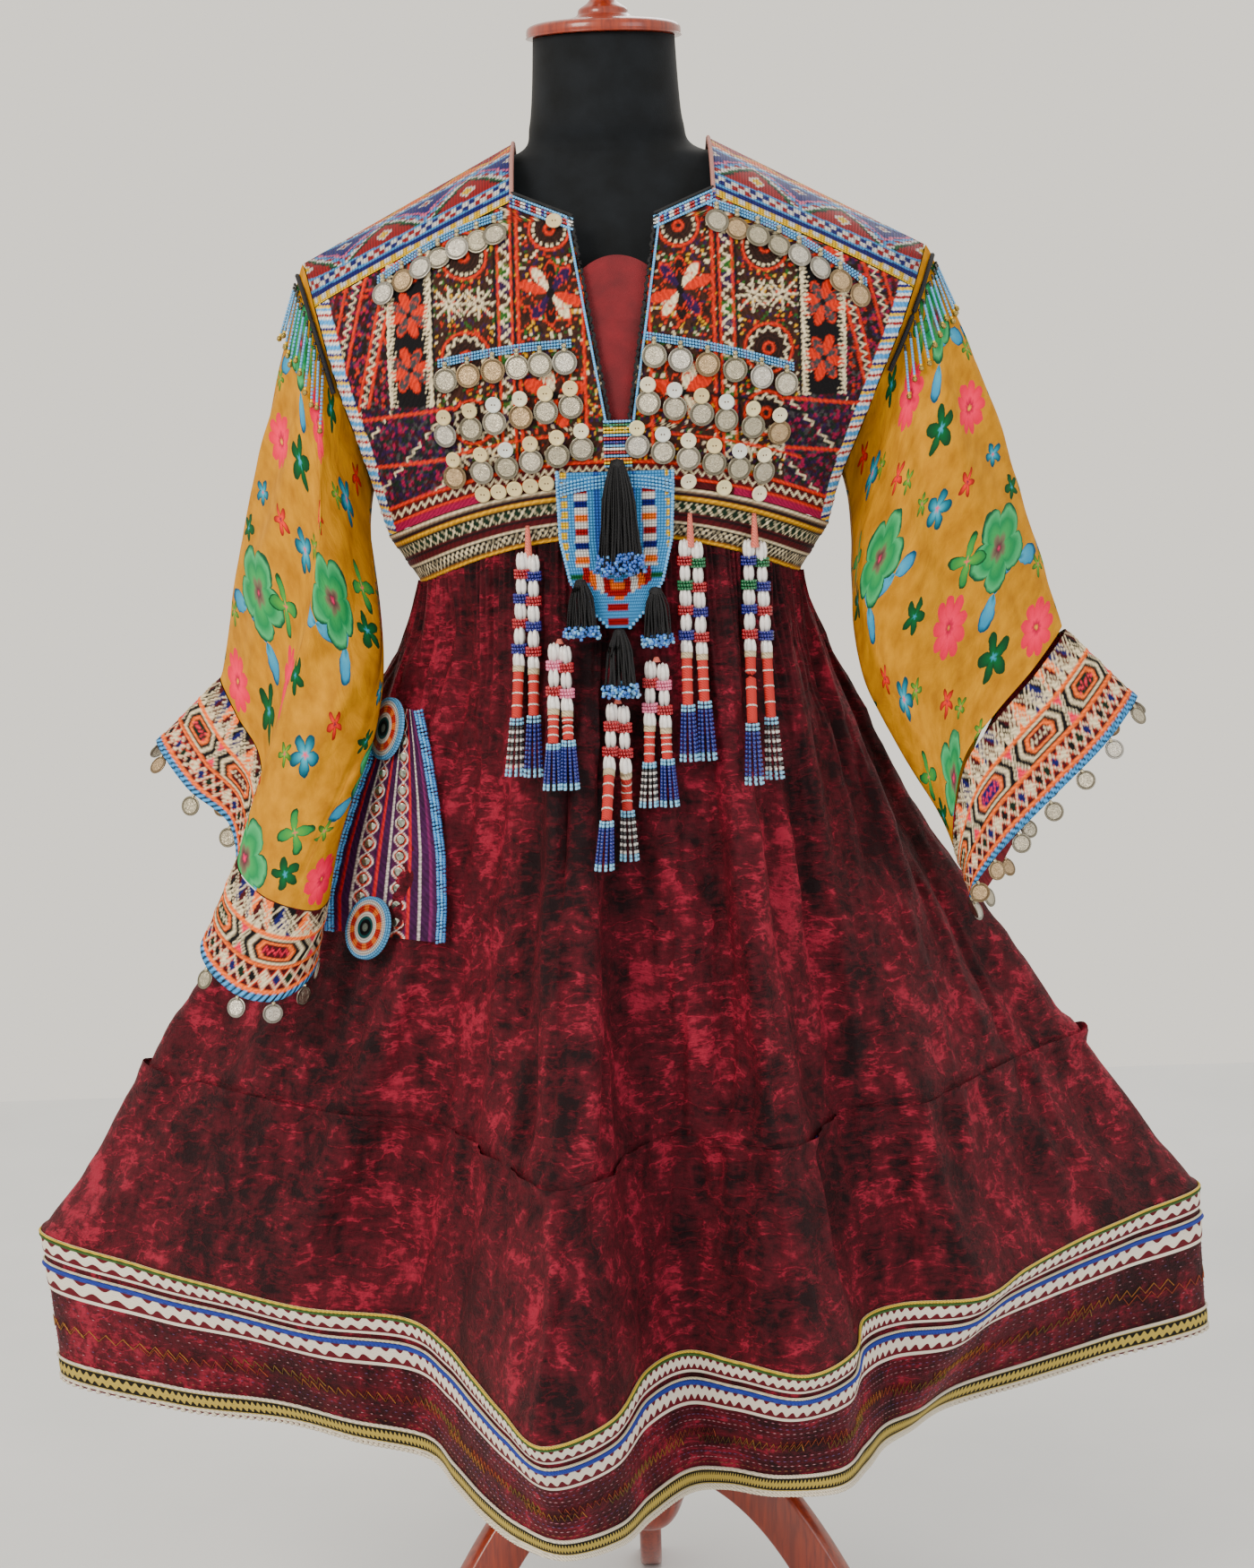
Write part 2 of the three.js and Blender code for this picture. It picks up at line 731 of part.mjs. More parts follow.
const coinRows = [
  { name: 'shoulder_coins_left', count: 7, from: [-174, 1190], to: [-86, 1231], bow: 5,
    flat: true },
  { name: 'shoulder_coins_right', count: 8, from: [81, 1236], to: [190, 1178], bow: 6,
    flat: true },
  { name: 'coin_row_upper_left', count: 6, from: [-128, 1124], to: [-37, 1135], bow: 2 },
  { name: 'coin_row_upper_right', count: 6, from: [31, 1138], to: [131, 1114], bow: 2 },
  { name: 'coin_row_middle_left', count: 6, from: [-129, 1083], to: [-34, 1102], bow: 1,
    button: true },
  { name: 'coin_row_middle_right', count: 6, from: [25, 1103], to: [124, 1077], bow: 1,
    button: true },
  { name: 'coin_row_lower_left', count: 6, from: [-123, 1051], to: [-26, 1070], bow: -1,
    button: true },
  { name: 'coin_row_lower_right', count: 6, from: [16, 1071], to: [112, 1047], bow: -1,
    button: true },
];

// Shirt buttons sewn close above the waist seam; no coins hang from them.
const buttonRows = [
  { name: 'waist_buttons_left', count: 5, from: [-103, 1037], to: [-54, 1044.5] },
  { name: 'waist_buttons_right', count: 3, from: [54, 1042.4], to: [108, 1030.5] },
];

function buttonRow({ count, from, to }) {
  const places = range(count, from[0], to[0]);
  const shape = roundTab(buttonRadius, buttonSides);
  const row = hangingRow({ shape, places, stripHeight: 2, margin: 4 });
  return cutOutSolid(row, (a, b, layer) => {
    const share = (a - from[0]) / (to[0] - from[0]);
    return frontPoint(a, lerp(from[1], to[1], share) + b + buttonRadius, layer ? 3 : 1);
  });
}

// A tassel: a bound head with straight strands below it, all rooted in the head. lean is
// how far its foot stands in front of its head.
function tassel({ x, out, top, length, radius, strands, lean }) {
  const headHeight = radius * 1.6;
  const upper = Math.min(top, medallionRows[0].height);
  const cloth = Math.min(nearestFrontY(x, upper, 10), nearestFrontY(x, top - headHeight, 10));
  const y = cloth - medallionGap - medallionThickness - radius - out;
  const headRadii = [radius * 0.4, radius * 0.95, radius];
  const heights = [top, top - headHeight * 0.4, top - headHeight];
  const head = beadedCord(heights.map((z) => vector(x, y, z)), headRadii, 7);
  const pieces = [head];
  const foot = 1.45;
  for (let strand = 0; strand < strands; strand += 1) {
    const turn = (strand / strands) * 2 * Math.PI;
    const reach = radius * (strand % 2 ? 0.72 : 0.42);
    const [sideways, forward] = [reach * Math.cos(turn), reach * Math.sin(turn)];
    const points = [
      vector(x + sideways, y + forward, top - headHeight + 2),
      vector(x + foot * sideways, y + forward - lean, top - length),
    ];
    pieces.push(beadedCord(points, [1.2, 1.7], 3));
  }
  return joined(pieces);
}

const tassels = [
  { name: 'tassel_middle', x: 0, out: 0.3, top: 1062, length: 88, radius: 8, strands: 14,
    lean: 5 },
  { name: 'tassel_left', x: -31, out: 0, top: 972, length: 42, radius: 7, strands: 8,
    lean: 8 },
  { name: 'tassel_right', x: 26, out: 0.3, top: 964, length: 42, radius: 7, strands: 8,
    lean: 6 },
  { name: 'tassel_low', x: -2, out: -7.4, top: 933.5, length: 48, radius: 8, strands: 10,
    lean: 16 },
];

const upperFalls = [0, 0.06, 0.2, 0.45, tierStart - 0.001];
const upperColumns = turnsRound(gatherCount * 2).map((turn) => (
  upperFalls.map((fall) => offSkirt(turn, fall, skirtWave(turn, fall)))
));

// How far forward the skirt's own facets reach at an x and a height.
function skirtFrontY(x, height) {
  const spots = upperColumns.map((points) => {
    const place = Math.max(points.findIndex((point) => point.z <= height), 1);
    const [upper, lower] = [points[place - 1], points[place]];
    return upper.clone().lerp(lower, (upper.z - height) / (upper.z - lower.z));
  });
  let front = 0;
  for (let place = 0; place < spots.length; place += 1) {
    const a = spots[place];
    const b = spots[(place + 1) % spots.length];
    const share = (x - a.x) / (b.x - a.x);
    if (share >= 0 && share <= 1) front = Math.min(front, lerp(a.y, b.y, share));
  }
  return front;
}

// How far forward the bodice, the waistband or the skirt reaches at an x and a height.
function clothFrontY(x, height) {
  if (height > waistSeam(-1, (x - bodyRows[0].middle) / bodyRows[0].halfWidth)) {
    return frontPoint(x, height, 0).y;
  }
  const row = bodyRows[0];
  const across = (x - row.middle) / row.halfWidth;
  const band = -(row.frontDepth + row.edgeDepth) * archOf(across);
  const bandFoot = waistSeam(-1, across) - bandHeight - 4;
  return height > bandFoot ? band : skirtFrontY(x, height);
}

function nearestFrontY(x, height, reach) {
  return Math.min(...[-reach, 0, reach].map((beside) => clothFrontY(x + beside, height)));
}

// The beaded pendant on the waist seam: a tongue that narrows to a point.
const medallionRows = table(['height', 'left', 'right'], [
  [1052, -46, 42],
  [1040, -46, 42],
  [1000, -45, 40],
  [968, -38, 32],
  [948, -24, 20],
  [934, -10, 6],
]);

function medallion() {
  const rings = medallionRows.map(({ height, left, right }) => {
    const back = range(5, left, right).map((x) => (
      vector(x, nearestFrontY(x, height, 10) - medallionGap, height)));
    const front = back.map((point) => point.clone().add(vector(0, -medallionThickness, 0)));
    return [...front, ...back.reverse()];
  });
  return stackedSolid(rings);
}

// Shell and bead cords that hang from the waist and lie on the skirt. off: how far each
// group stands out from the cloth, besides its beads' radius.
const strandRadii = [2.4, 4.8, 3.2, 5.2, 3.4, 4.6, 4.6, 7];
const strandGroups = [
  { name: 'bead_strands_1', top: 1000, bottom: 828, off: 0.6,
    xs: [[-74, -85], [-66, -70.5]] },
  { name: 'bead_strands_2', top: 925, bottom: 820, off: 1.6,
    xs: [[-52, -56], [-44, -43]] },
  { name: 'bead_strands_3', top: 878, bottom: 762, off: 0,
    xs: [[-9, -19], [-1, 0]] },
  { name: 'bead_strands_4', top: 908, bottom: 800, off: 1,
    xs: [[21, 16], [30, 32]] },
  { name: 'bead_strands_5', top: 1006, bottom: 833, off: 0.8,
    xs: [[50, 48], [59, 62]] },
  { name: 'bead_strands_6', top: 1003, bottom: 814, off: -1,
    xs: [[100, 97], [109, 114]] },
];

function beadStrands({ top, bottom, off, xs }) {
  const heights = range(strandRadii.length, top, bottom);
  const cords = xs.map(([upperX, lowerX]) => {
    const points = heights.map((height, place) => {
      const x = lerp(upperX, lowerX, place / (heights.length - 1));
      const radius = strandRadii[place];
      return vector(x, nearestFrontY(x, height, radius) - radius - off, height);
    });
    const head = points[0].clone().add(vector(0, 0, -2.5));
    return { cord: beadedCord(points, strandRadii, 4), head };
  });
  return joined([...cords.map(({ cord }) => cord), rod(cords[0].head, cords[1].head, 2, 6)]);
}

// The hanging patch: a narrow top, a wide foot, lying on the skirt's left front.
const patchRows = table(['height', 'left', 'right'], [
  [868, -184, -166],
  [840, -196, -160],
  [800, -212, -154],
  [760, -226, -150],
  [720, -236, -150],
  [694, -236, -152],
]);

function patchFrontY(x, height) {
  const near = [-8, 0, 8].map((beside) => skirtFrontY(x + beside, height));
  return Math.min(...near) - 0.3;
}

function patch() {
  const loops = range(5).map((share) => {
    const outer = patchRows.map(({ height, left, right }) => {
      const x = lerp(left, right, share);
      return vector(x, patchFrontY(x, height), height);
    });
    const inner = outer.map((point) => point.clone().add(vector(0, 2.4, 0)));
    return [...outer, ...inner.reverse()];
  });
  return sweptSolid(loops, false);
}

// Beaded discs fixed to the patch: one lies flat on its foot, one stands on its top edge.
// out: from the patch's front to the disc's middle.
const patchDiscs = [
  { name: 'patch_disc_lower', x: -204, height: 700, tilt: 0, out: 3.6 },
  { name: 'patch_disc_upper', x: -182, height: 850, tilt: 8, out: 8.6 },
];

function patchDisc({ x, height, tilt, out }) {
  const radius = 25;
  const thickness = 4;
  const spot = (beside, above) => (
    vector(x + beside, patchFrontY(x + beside, height + above), height + above));
  const across = spot(12, 0).sub(spot(-12, 0));
  const rise = spot(0, 12).sub(spot(0, -12));
  const normal = across.cross(rise).normalize();
  const centre = spot(0, 0).addScaledVector(normal, out);
  const facing = normal.clone().applyAxisAngle(vector(0, 0, 1), -radians(tilt));
  return disc(centre, facing, radius, thickness, 14);
}

// Short bead strands rooted in a strip along the armhole, over the shoulder's end.
function armholeFringe(side, rows) {
  const reach = 7;
  const step = 1 / sleeveTurns.length;
  const shape = [[-0.006, 0], [-0.006, 0.12], [0.006, 0.12], [0.006, 0]];
  const places = range(2 * reach + 1, -reach * step, reach * step);
  const row = hangingRow({ shape, places, stripHeight: 0.03, margin: step / 2 });
  return cutOutSolid(row, (turn, raise, layer) => {
    const along = 0.055 - raise;
    return offSleeve(side, rows, turn, along, 1.8 + 14 * along + 2 * layer);
  });
}

// Coins along a cuff's free edge, hung from a beaded rim that is open at the back.
function cuffCoins(side, rows, count) {
  const cuffWidth = 75;
  const radius = 8;
  const round = cuffPoint(rows, 0, 1).distanceTo(cuffPoint(rows, 0.5, 1)) * 2.2;
  const shape = roundTab(radius, 5).map(([a, b]) => [a / round, b / cuffWidth]);
  const places = range(count, 0.03, 0.97);
  const row = hangingRow({ shape, places, stripHeight: 0.04, margin: 0.02 });
  return cutOutSolid(row, (turn, raise, layer) => (
    offCuff(side, rows, turn, 1.09 - raise, layer * 1.4 - 1.6)));
}

// The red cloth seen behind the neck slit.
function placket() {
  const loops = range(7, -31, 37).map((x) => {
    const rim = 1216 - 18 * ((x - 4) / 34) ** 2;
    const out = (depth) => range(5, 1084, rim).map((height) => frontPoint(x, height, depth));
    return [...out(-velvetWall - 2), ...out(-velvetWall - 3.2).reverse()];
  });
  return sweptSolid(loops, false);
}

// A cord bound round the neck opening and down both sides of the slit.
function neckEdge() {
  const radius = 2;
  const inset = radius + 0.4;
  const sides = [-1, 1].map((side) => {
    const front = necklineRows.flatMap((row, place) => {
      const next = necklineRows[place + 1] ?? row;
      const steps = [4, 2, 1][place];
      const spots = range(steps + 1).slice(0, steps).map((share) => (
        { half: lerp(row.half, next.half, share), height: lerp(row.height, next.height, share) }));
      return spots.map(({ half, height }) => (
        frontPoint(neckMiddle + side * (half - inset), height + (half > 40 ? 3 : 2), 0.3)));
    });
    const over = [[-1, 0.84], [-1, 0.92], [-1, 1], [1, 0.92]].map(([facing, up]) => {
      const row = between(bodyRows, up);
      const x = neckMiddle + side * (neckHalfWidth - inset);
      return offBody(facing, (x - row.middle) / row.halfWidth, up, 0.3);
    });
    return [...front, ...over];
  });
  const backUp = 0.852;
  const back = range(5, -58, 64).map((x) => {
    const row = between(bodyRows, backUp);
    return offBody(1, (x - row.middle) / row.halfWidth, backUp, 0.3);
  });
  const points = [...sides[0], ...back, ...sides[1].reverse()];
  const loops = points.map((point, place) => {
    const next = points[Math.min(place + 1, points.length - 1)];
    const last = points[Math.max(place - 1, 0)];
    const along = next.clone().sub(last).normalize();
    const out = vector(0, point.y < 0 ? -1 : 1, 0.35).normalize();
    const wide = along.clone().cross(out).normalize();
    const tall = wide.clone().cross(along).normalize();
    return range(5).slice(0, 4).map((turn) => point.clone()
      .addScaledVector(wide, radius * Math.cos(2 * Math.PI * turn))
      .addScaledVector(tall, radius * Math.sin(2 * Math.PI * turn)));
  });
  return stackedSolid(loops);
}

// The dress form: sections from the hip to the top of the neck.
const formShoulderGap = 4.2;
const formShoulder = (height) => (
  neckHalfWidth + (neckPointHeight - formShoulderGap - height) / shoulderSlope);
const formRows = table(['height', 'halfWidth', 'depth', 'middle', 'point'], [
  [622, 150, 102, 0, 1],
  [645, 164, 110, 0, 1],
  [760, 158, 108, 0, 1],
  [860, 142, 96, 0, 1],
  [960, 124, 88, 0, 1],
  [1020, 122, 90, 0, 1],
  [1095, 144, 106, 0, 1],
  [1150, 166, 108, 0, 1],
  [1205, 190, 94, 1, 1.1],
  [1244, formShoulder(1244), 74, neckMiddle, 1.25],
  [1286, formShoulder(1286), 55, neckMiddle, 1.25],
  [1300, 68, 53, 1, 1.1],
  [1318, 61, 57, 0, 1],
  [1345, 58, 57, 0, 1],
  [1384.5, 56, 56, 0, 1],
]);

function formTorso() {
  const sides = 22;
  const rings = formRows.map(({ height, halfWidth, depth, middle, point }) => (
    turnsRound(sides).map((turn) => {
      const across = Math.cos(2 * Math.PI * turn);
      const fore = Math.sin(2 * Math.PI * turn);
      return vector(
        middle + halfWidth * Math.sign(across) * Math.abs(across) ** point,
        depth * Math.sign(fore) * Math.abs(fore) ** point,
        height,
      );
    })
  ));
  return stackedSolid(rings);
}

function turned(outline, sides = 14) {
  const points = outline.map(([radius, height]) => new THREE.Vector2(radius, height));
  return new THREE.LatheGeometry(points, sides).rotateX(Math.PI / 2);
}

const capBottom = 1385;
const poleTop = 621.5;
const hubTop = 330;
const hubRadius = 30;

function neckCap() {
  return turned([[0, capBottom], [60, capBottom], [61, capBottom + 5], [57, capBottom + 10],
    [34, capBottom + 15], [20, capBottom + 18], [19, capBottom + 24], [9, capBottom + 30],
    [13, capBottom + 44], [18, capBottom + 54], [13, capBottom + 66], [0, capBottom + 71]]);
}

function standHub() {
  return turned([[0, 150], [16, 150], [24, 162], [hubRadius, 178], [hubRadius, 280],
    [22, 296], [26, 310], [20, hubTop], [0, hubTop]], 12).rotateZ(Math.PI / 12);
}

function standPole() {
  return turned([[0, hubTop + 0.3], [14, hubTop + 0.3], [14, poleTop], [0, poleTop]], 16);
}

// A flat board leg: from the hub down and out to a foot that is flat on the floor.
function standLeg(turn) {
  const thickness = 20;
  const shape = new THREE.Shape();
  const start = hubRadius * Math.cos(Math.PI / 12) + 0.4;
  shape.moveTo(start, 270);
  shape.bezierCurveTo(90, 262, 160, 190, 205, 110);
  shape.bezierCurveTo(230, 66, 262, 42, 300, 34);
  shape.lineTo(300, 0);
  shape.lineTo(262, 0);
  shape.bezierCurveTo(220, 16, 190, 50, 168, 90);
  shape.bezierCurveTo(130, 160, 90, 200, start, 206);
  shape.closePath();
  return new THREE.ExtrudeGeometry(shape, { depth: thickness, bevelEnabled: false,
    curveSegments: 6 })
    .translate(0, 0, -thickness / 2).rotateX(Math.PI / 2).rotateZ(radians(turn));
}

const colours = {
  velvet: [0x6d1426, 0.75, 0],
  embroidery: [0x6b3a35, 0.85, 0],
  beads: [0x4f8fc0, 0.35, 0],
  printedCotton: [0xe2a900, 0.85, 0],
  cuffEmbroidery: [0xd9793f, 0.85, 0],
  ribbon: [0xe3dacb, 0.8, 0],
  coin: [0xb9b4a0, 0.4, 0.9],
  blackThread: [0x15161c, 0.8, 0],
  shell: [0xe8e6e6, 0.35, 0],
  redCotton: [0x8f1426, 0.85, 0],
  formCloth: [0x1c2227, 0.9, 0],
  lacquer: [0xb8461c, 0.3, 0],
};

const dress = new THREE.Group();

function add(name, geometry, finish) {
  const [color, roughness, metalness] = colours[finish];
  const material = new THREE.MeshStandardMaterial({ color, roughness, metalness });
  const mesh = new THREE.Mesh(geometry, material);
  mesh.name = name;
  dress.add(mesh);
}

add('form_torso', formTorso(), 'formCloth');
add('neck_cap', neckCap(), 'lacquer');
add('stand_pole', standPole(), 'lacquer');
add('stand_hub', standHub(), 'lacquer');
[-30, -150, 90].forEach((turn, leg) => add(`stand_leg_${leg + 1}`, standLeg(turn), 'lacquer'));

add('bodice_front', bodiceFront(), 'embroidery');
add('bodice_back', bodiceBack(), 'embroidery');
add('shoulder_panel_left', shoulderPanel(-1), 'beads');
add('shoulder_panel_right', shoulderPanel(1), 'beads');
add('neck_edge', neckEdge(), 'blackThread');
add('placket', placket(), 'redCotton');
add('waistband', waistband(), 'embroidery');

const sleeves = [['left', -1, leftCuffRows, 15, 0.012], ['right', 1, rightCuffRows, 16, 0.05]];
for (const [name, side, rows, coinCount, cuffStart] of sleeves) {
  add(`sleeve_${name}`, sleeve(side, rows), 'printedCotton');
  add(`cuff_${name}`, cuff(side, rows, cuffStart), 'cuffEmbroidery');
  add(`cuff_coins_${name}`, cuffCoins(side, rows, coinCount), 'coin');
  add(`fringe_${name}`, armholeFringe(side, rows), 'beads');
}

add('skirt_upper', skirtUpper(), 'velvet');
add('skirt_tier', skirtTier(), 'velvet');
add('trim_upper', trimBand(0.01, 0.17, 2.2), 'ribbon');
add('trim_lower', trimBand(0.2, 0.4, 2.2), 'ribbon');
add('trim_hem', trimBand(0.86, 0.995, 1.8), 'ribbon');

for (const row of coinRows) add(row.name, coinRow(row), 'coin');
for (const row of buttonRows) add(row.name, buttonRow(row), 'shell');
add('medallion', medallion(), 'beads');
for (const spec of tassels) add(spec.name, tassel(spec), 'blackThread');
for (const spec of strandGroups) add(spec.name, beadStrands(spec), 'shell');
add('patch', patch(), 'embroidery');
for (const spec of patchDiscs) add(spec.name, patchDisc(spec), 'beads');

dress.position.x = axisShift;

export default dress;
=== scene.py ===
import math

import bpy
import numpy as np
from mathutils import Matrix, Vector


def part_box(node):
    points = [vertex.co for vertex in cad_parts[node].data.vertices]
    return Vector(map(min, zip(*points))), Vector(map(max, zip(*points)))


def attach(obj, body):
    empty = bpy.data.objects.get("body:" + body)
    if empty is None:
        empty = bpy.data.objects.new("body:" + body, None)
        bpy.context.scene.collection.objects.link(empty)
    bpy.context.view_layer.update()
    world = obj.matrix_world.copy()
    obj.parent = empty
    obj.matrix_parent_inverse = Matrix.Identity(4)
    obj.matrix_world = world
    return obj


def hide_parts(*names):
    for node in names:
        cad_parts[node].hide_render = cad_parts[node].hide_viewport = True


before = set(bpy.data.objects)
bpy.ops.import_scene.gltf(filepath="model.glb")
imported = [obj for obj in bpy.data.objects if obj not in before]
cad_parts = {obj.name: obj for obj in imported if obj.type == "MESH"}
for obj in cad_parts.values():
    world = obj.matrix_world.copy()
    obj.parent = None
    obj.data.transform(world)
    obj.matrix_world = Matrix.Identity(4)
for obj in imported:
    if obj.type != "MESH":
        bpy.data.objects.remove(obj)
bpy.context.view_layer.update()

print("stage: helpers")

poleX = (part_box("stand_pole")[0][0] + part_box("stand_pole")[1][0]) / 2
fullTurn = 2 * math.pi
# share of a turn or of a height used for differences
step = 0.002


def toLinear(code):
    # sRGB hex to linear: c/12.92 below 0.04045, else ((c+0.055)/1.055)^2.4; alpha 1
    values = [int(code[i:i + 2], 16) / 255 for i in (1, 3, 5)]
    return (*[c / 12.92 if c <= 0.04045 else ((c + 0.055) / 1.055) ** 2.4 for c in values], 1.0)


def setInputs(tree, node, inputs):
    # each input is a value, or another node's output to link
    for key, value in inputs.items():
        if isinstance(value, bpy.types.NodeSocket):
            tree.links.new(value, node.inputs[key])
        else:
            node.inputs[key].default_value = value


def addNode(tree, kind, inputs=None, **settings):
    # one shader node with its settings and inputs
    made = tree.nodes.new("ShaderNode" + kind)
    for name, value in settings.items():
        setattr(made, name, value)
    setInputs(tree, made, inputs or {})
    return made


def newMaterial(name):
    # an empty material with its surface shader, ready for nodes
    material = bpy.data.materials.new(name)
    material.use_nodes = True
    tree = material.node_tree
    tree.nodes.clear()
    output = addNode(tree, "OutputMaterial")
    shader = addNode(tree, "BsdfPrincipled")
    tree.links.new(shader.outputs[0], output.inputs[0])
    return material, tree, shader


def ramp(tree, factor, stops):
    # a colour for each stop of a 0..1 factor: (place, hex)
    made = addNode(tree, "ValToRGB", {0: factor})
    elements = made.color_ramp.elements
    while len(elements) < len(stops):
        elements.new(0.5)
    for element, (place, code) in zip(elements, stops):
        element.position = place
        element.color = toLinear(code)
    return made.outputs[0]


def calc(tree, operation, *values):
    # a math node on up to three values
    return addNode(tree, "Math", dict(enumerate(values)), operation=operation).outputs[0]


def scaled(tree, value, factor, offset):
    # value * factor + offset
    return calc(tree, "MULTIPLY_ADD", value, factor, offset)


def vectorCalc(tree, operation, *values):
    # a vector math node; its number when the result is a number, else its vector
    made = addNode(tree, "VectorMath", dict(enumerate(values)), operation=operation)
    return made.outputs[1 if operation in ("LENGTH", "DISTANCE") else 0]


def noise(tree, where, scale, detail=2.0, **more):
    # cloudy noise about 0.5, with so many cells a metre
    inputs = {"Vector": where, "Scale": scale, "Detail": detail, **more}
    return addNode(tree, "TexNoise", inputs).outputs[0]


def mapped(tree, where, scale, turn=(0, 0, 0)):
    # a place turned, then scaled
    return addNode(tree, "Mapping", {0: where, 2: turn, 3: scale}).outputs[0]


def objectPlace(tree):
    # the place on the piece in metres
    return addNode(tree, "TexCoord").outputs["Object"]


def clothPlace(tree):
    # the place on the cloth in metres, from its uv
    return addNode(tree, "UVMap", uv_map="place").outputs[0]


def raised(tree, height, strength, distance):
    # a bump: the normal tilted by the slope of a height
    inputs = {"Height": height, "Strength": strength, "Distance": distance}
    return addNode(tree, "Bump", inputs).outputs[0]


def mixColours(tree, factor, a, b, mode="MIX"):
    # a blended with b by the factor
    made = addNode(tree, "Mix", {0: factor, 6: a, 7: b}, data_type="RGBA", blend_type=mode)
    return made.outputs[2]


def tintOf(tree):
    # the colour painted on the mesh's corners
    return addNode(tree, "VertexColor", layer_name="tint").outputs[0]


def dyed(tree, level):
    # the painted colour times a grey level
    grey = addNode(tree, "CombineColor", {0: level, 1: level, 2: level}).outputs[0]
    return mixColours(tree, 1.0, tintOf(tree), grey, "MULTIPLY")


def between(rows, place, closed=False):
    # Catmull-Rom through evenly spaced rows: 0.5(2b + (c-a)t + (2a-5b+4c-d)t2 + (3b-a-3c+d)t3)
    rows = np.asarray(rows, float)
    place = np.asarray(place, float)
    count = len(rows)
    spans = count if closed else count - 1
    turns = place - np.floor(place) if closed else np.clip(place, 0, 1)
    first = np.minimum((turns * spans).astype(int), spans - 1)
    t = (turns * spans - first)[..., None]
    spots = [first + step for step in (-1, 0, 1, 2)]
    spots = [s % count if closed else np.clip(s, 0, count - 1) for s in spots]
    a, b, c, d = (rows[s] for s in spots)
    return 0.5 * (2 * b + (c - a) * t + (2 * a - 5 * b + 4 * c - d) * t ** 2
                  + (3 * b - a - 3 * c + d) * t ** 3)


def lerp(a, b, t):
    # a + (b - a) t
    return a + (b - a) * t


def bump(t):
    # smooth step 3t2 - 2t3, held at 0 and 1
    t = np.clip(t, 0, 1)
    return t * t * (3 - 2 * t)


def unevenness(u, v, cellU, cellV, seed, wrapU=None):
    # value noise: random heights on a grid of cells, blended by smooth steps; about -1..1
    random = np.random.default_rng(seed)
    grid = random.uniform(-1, 1, (256, 256))
    a, b = u / cellU, v / cellV
    i, j = np.floor(a).astype(int), np.floor(b).astype(int)
    s, t = bump(a - i), bump(b - j)
    wrap = int(round(wrapU / cellU)) if wrapU else 256
    i0, i1 = i % wrap % 256, (i + 1) % wrap % 256
    j0, j1 = j % 256, (j + 1) % 256
    low = lerp(grid[i0, j0], grid[i1, j0], s)
    high = lerp(grid[i0, j1], grid[i1, j1], s)
    return lerp(low, high, t)


def unit(vectors):
    # each vector divided by its length
    return vectors / np.maximum(np.linalg.norm(vectors, axis=-1, keepdims=True), 1e-9)


def normalsOf(points, closed=False):
    # cross product of the grid's two directions: d(point)/du x d(point)/dv
    du = (np.roll(points, -1, axis=0) - np.roll(points, 1, axis=0)) if closed else (
        np.gradient(points, axis=0))
    return unit(np.cross(du, np.gradient(points, axis=1)))


def moved(points, normals, out):
    # point + normal * out
    return points + normals * np.asarray(out)[..., None]


def circle(count):
    # angles evenly round a circle
    return np.linspace(0, fullTurn, count, endpoint=False)


def toMetres(points):
    # millimetres from the pole's axis to the frame's metres
    return np.asarray(points, float) / 1000 + np.array([poleX, 0, 0])


def meshFrom(name, points, faces, material, uv=None, colours=None):
    # faces: array of corner indices, all with the same number of corners; uv per corner
    mesh = bpy.data.meshes.new(name)
    points = toMetres(points).astype(np.float32).reshape(-1, 3)
    faces = np.asarray(faces, np.int32)
    size = faces.shape[1]
    mesh.vertices.add(len(points))
    mesh.vertices.foreach_set("co", points.ravel())
    mesh.loops.add(faces.size)
    mesh.loops.foreach_set("vertex_index", faces.ravel())
    mesh.polygons.add(len(faces))
    mesh.polygons.foreach_set("loop_start", np.arange(0, faces.size, size, dtype=np.int32))
    mesh.polygons.foreach_set("use_smooth", np.full(len(faces), True))
    if uv is not None:
        layer = mesh.uv_layers.new(name="place")
        layer.data.foreach_set("uv", np.asarray(uv, np.float32).ravel())
    if colours is not None:
        layer = mesh.color_attributes.new("tint", "FLOAT_COLOR", "POINT")
        layer.data.foreach_set("color", np.asarray(colours, np.float32).ravel())
    mesh.update(calc_edges=True)
    mesh.validate()
    mesh.materials.append(material)
    piece = bpy.data.objects.new(name, mesh)
    bpy.context.collection.objects.link(piece)
    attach(piece, "root")
    return piece


def gridFaces(rows, columns, closed):
    # quads between neighbours of a rows x columns grid, the first direction closed or not
    i = np.arange(rows if closed else rows - 1)[:, None]
    j = np.arange(columns - 1)[None, :]
    k = (i + 1) % rows
    corners = [i * columns + j, k * columns + j, k * columns + j + 1, i * columns + j + 1]
    return np.stack(np.broadcast_arrays(*corners), -1).reshape(-1, 4)


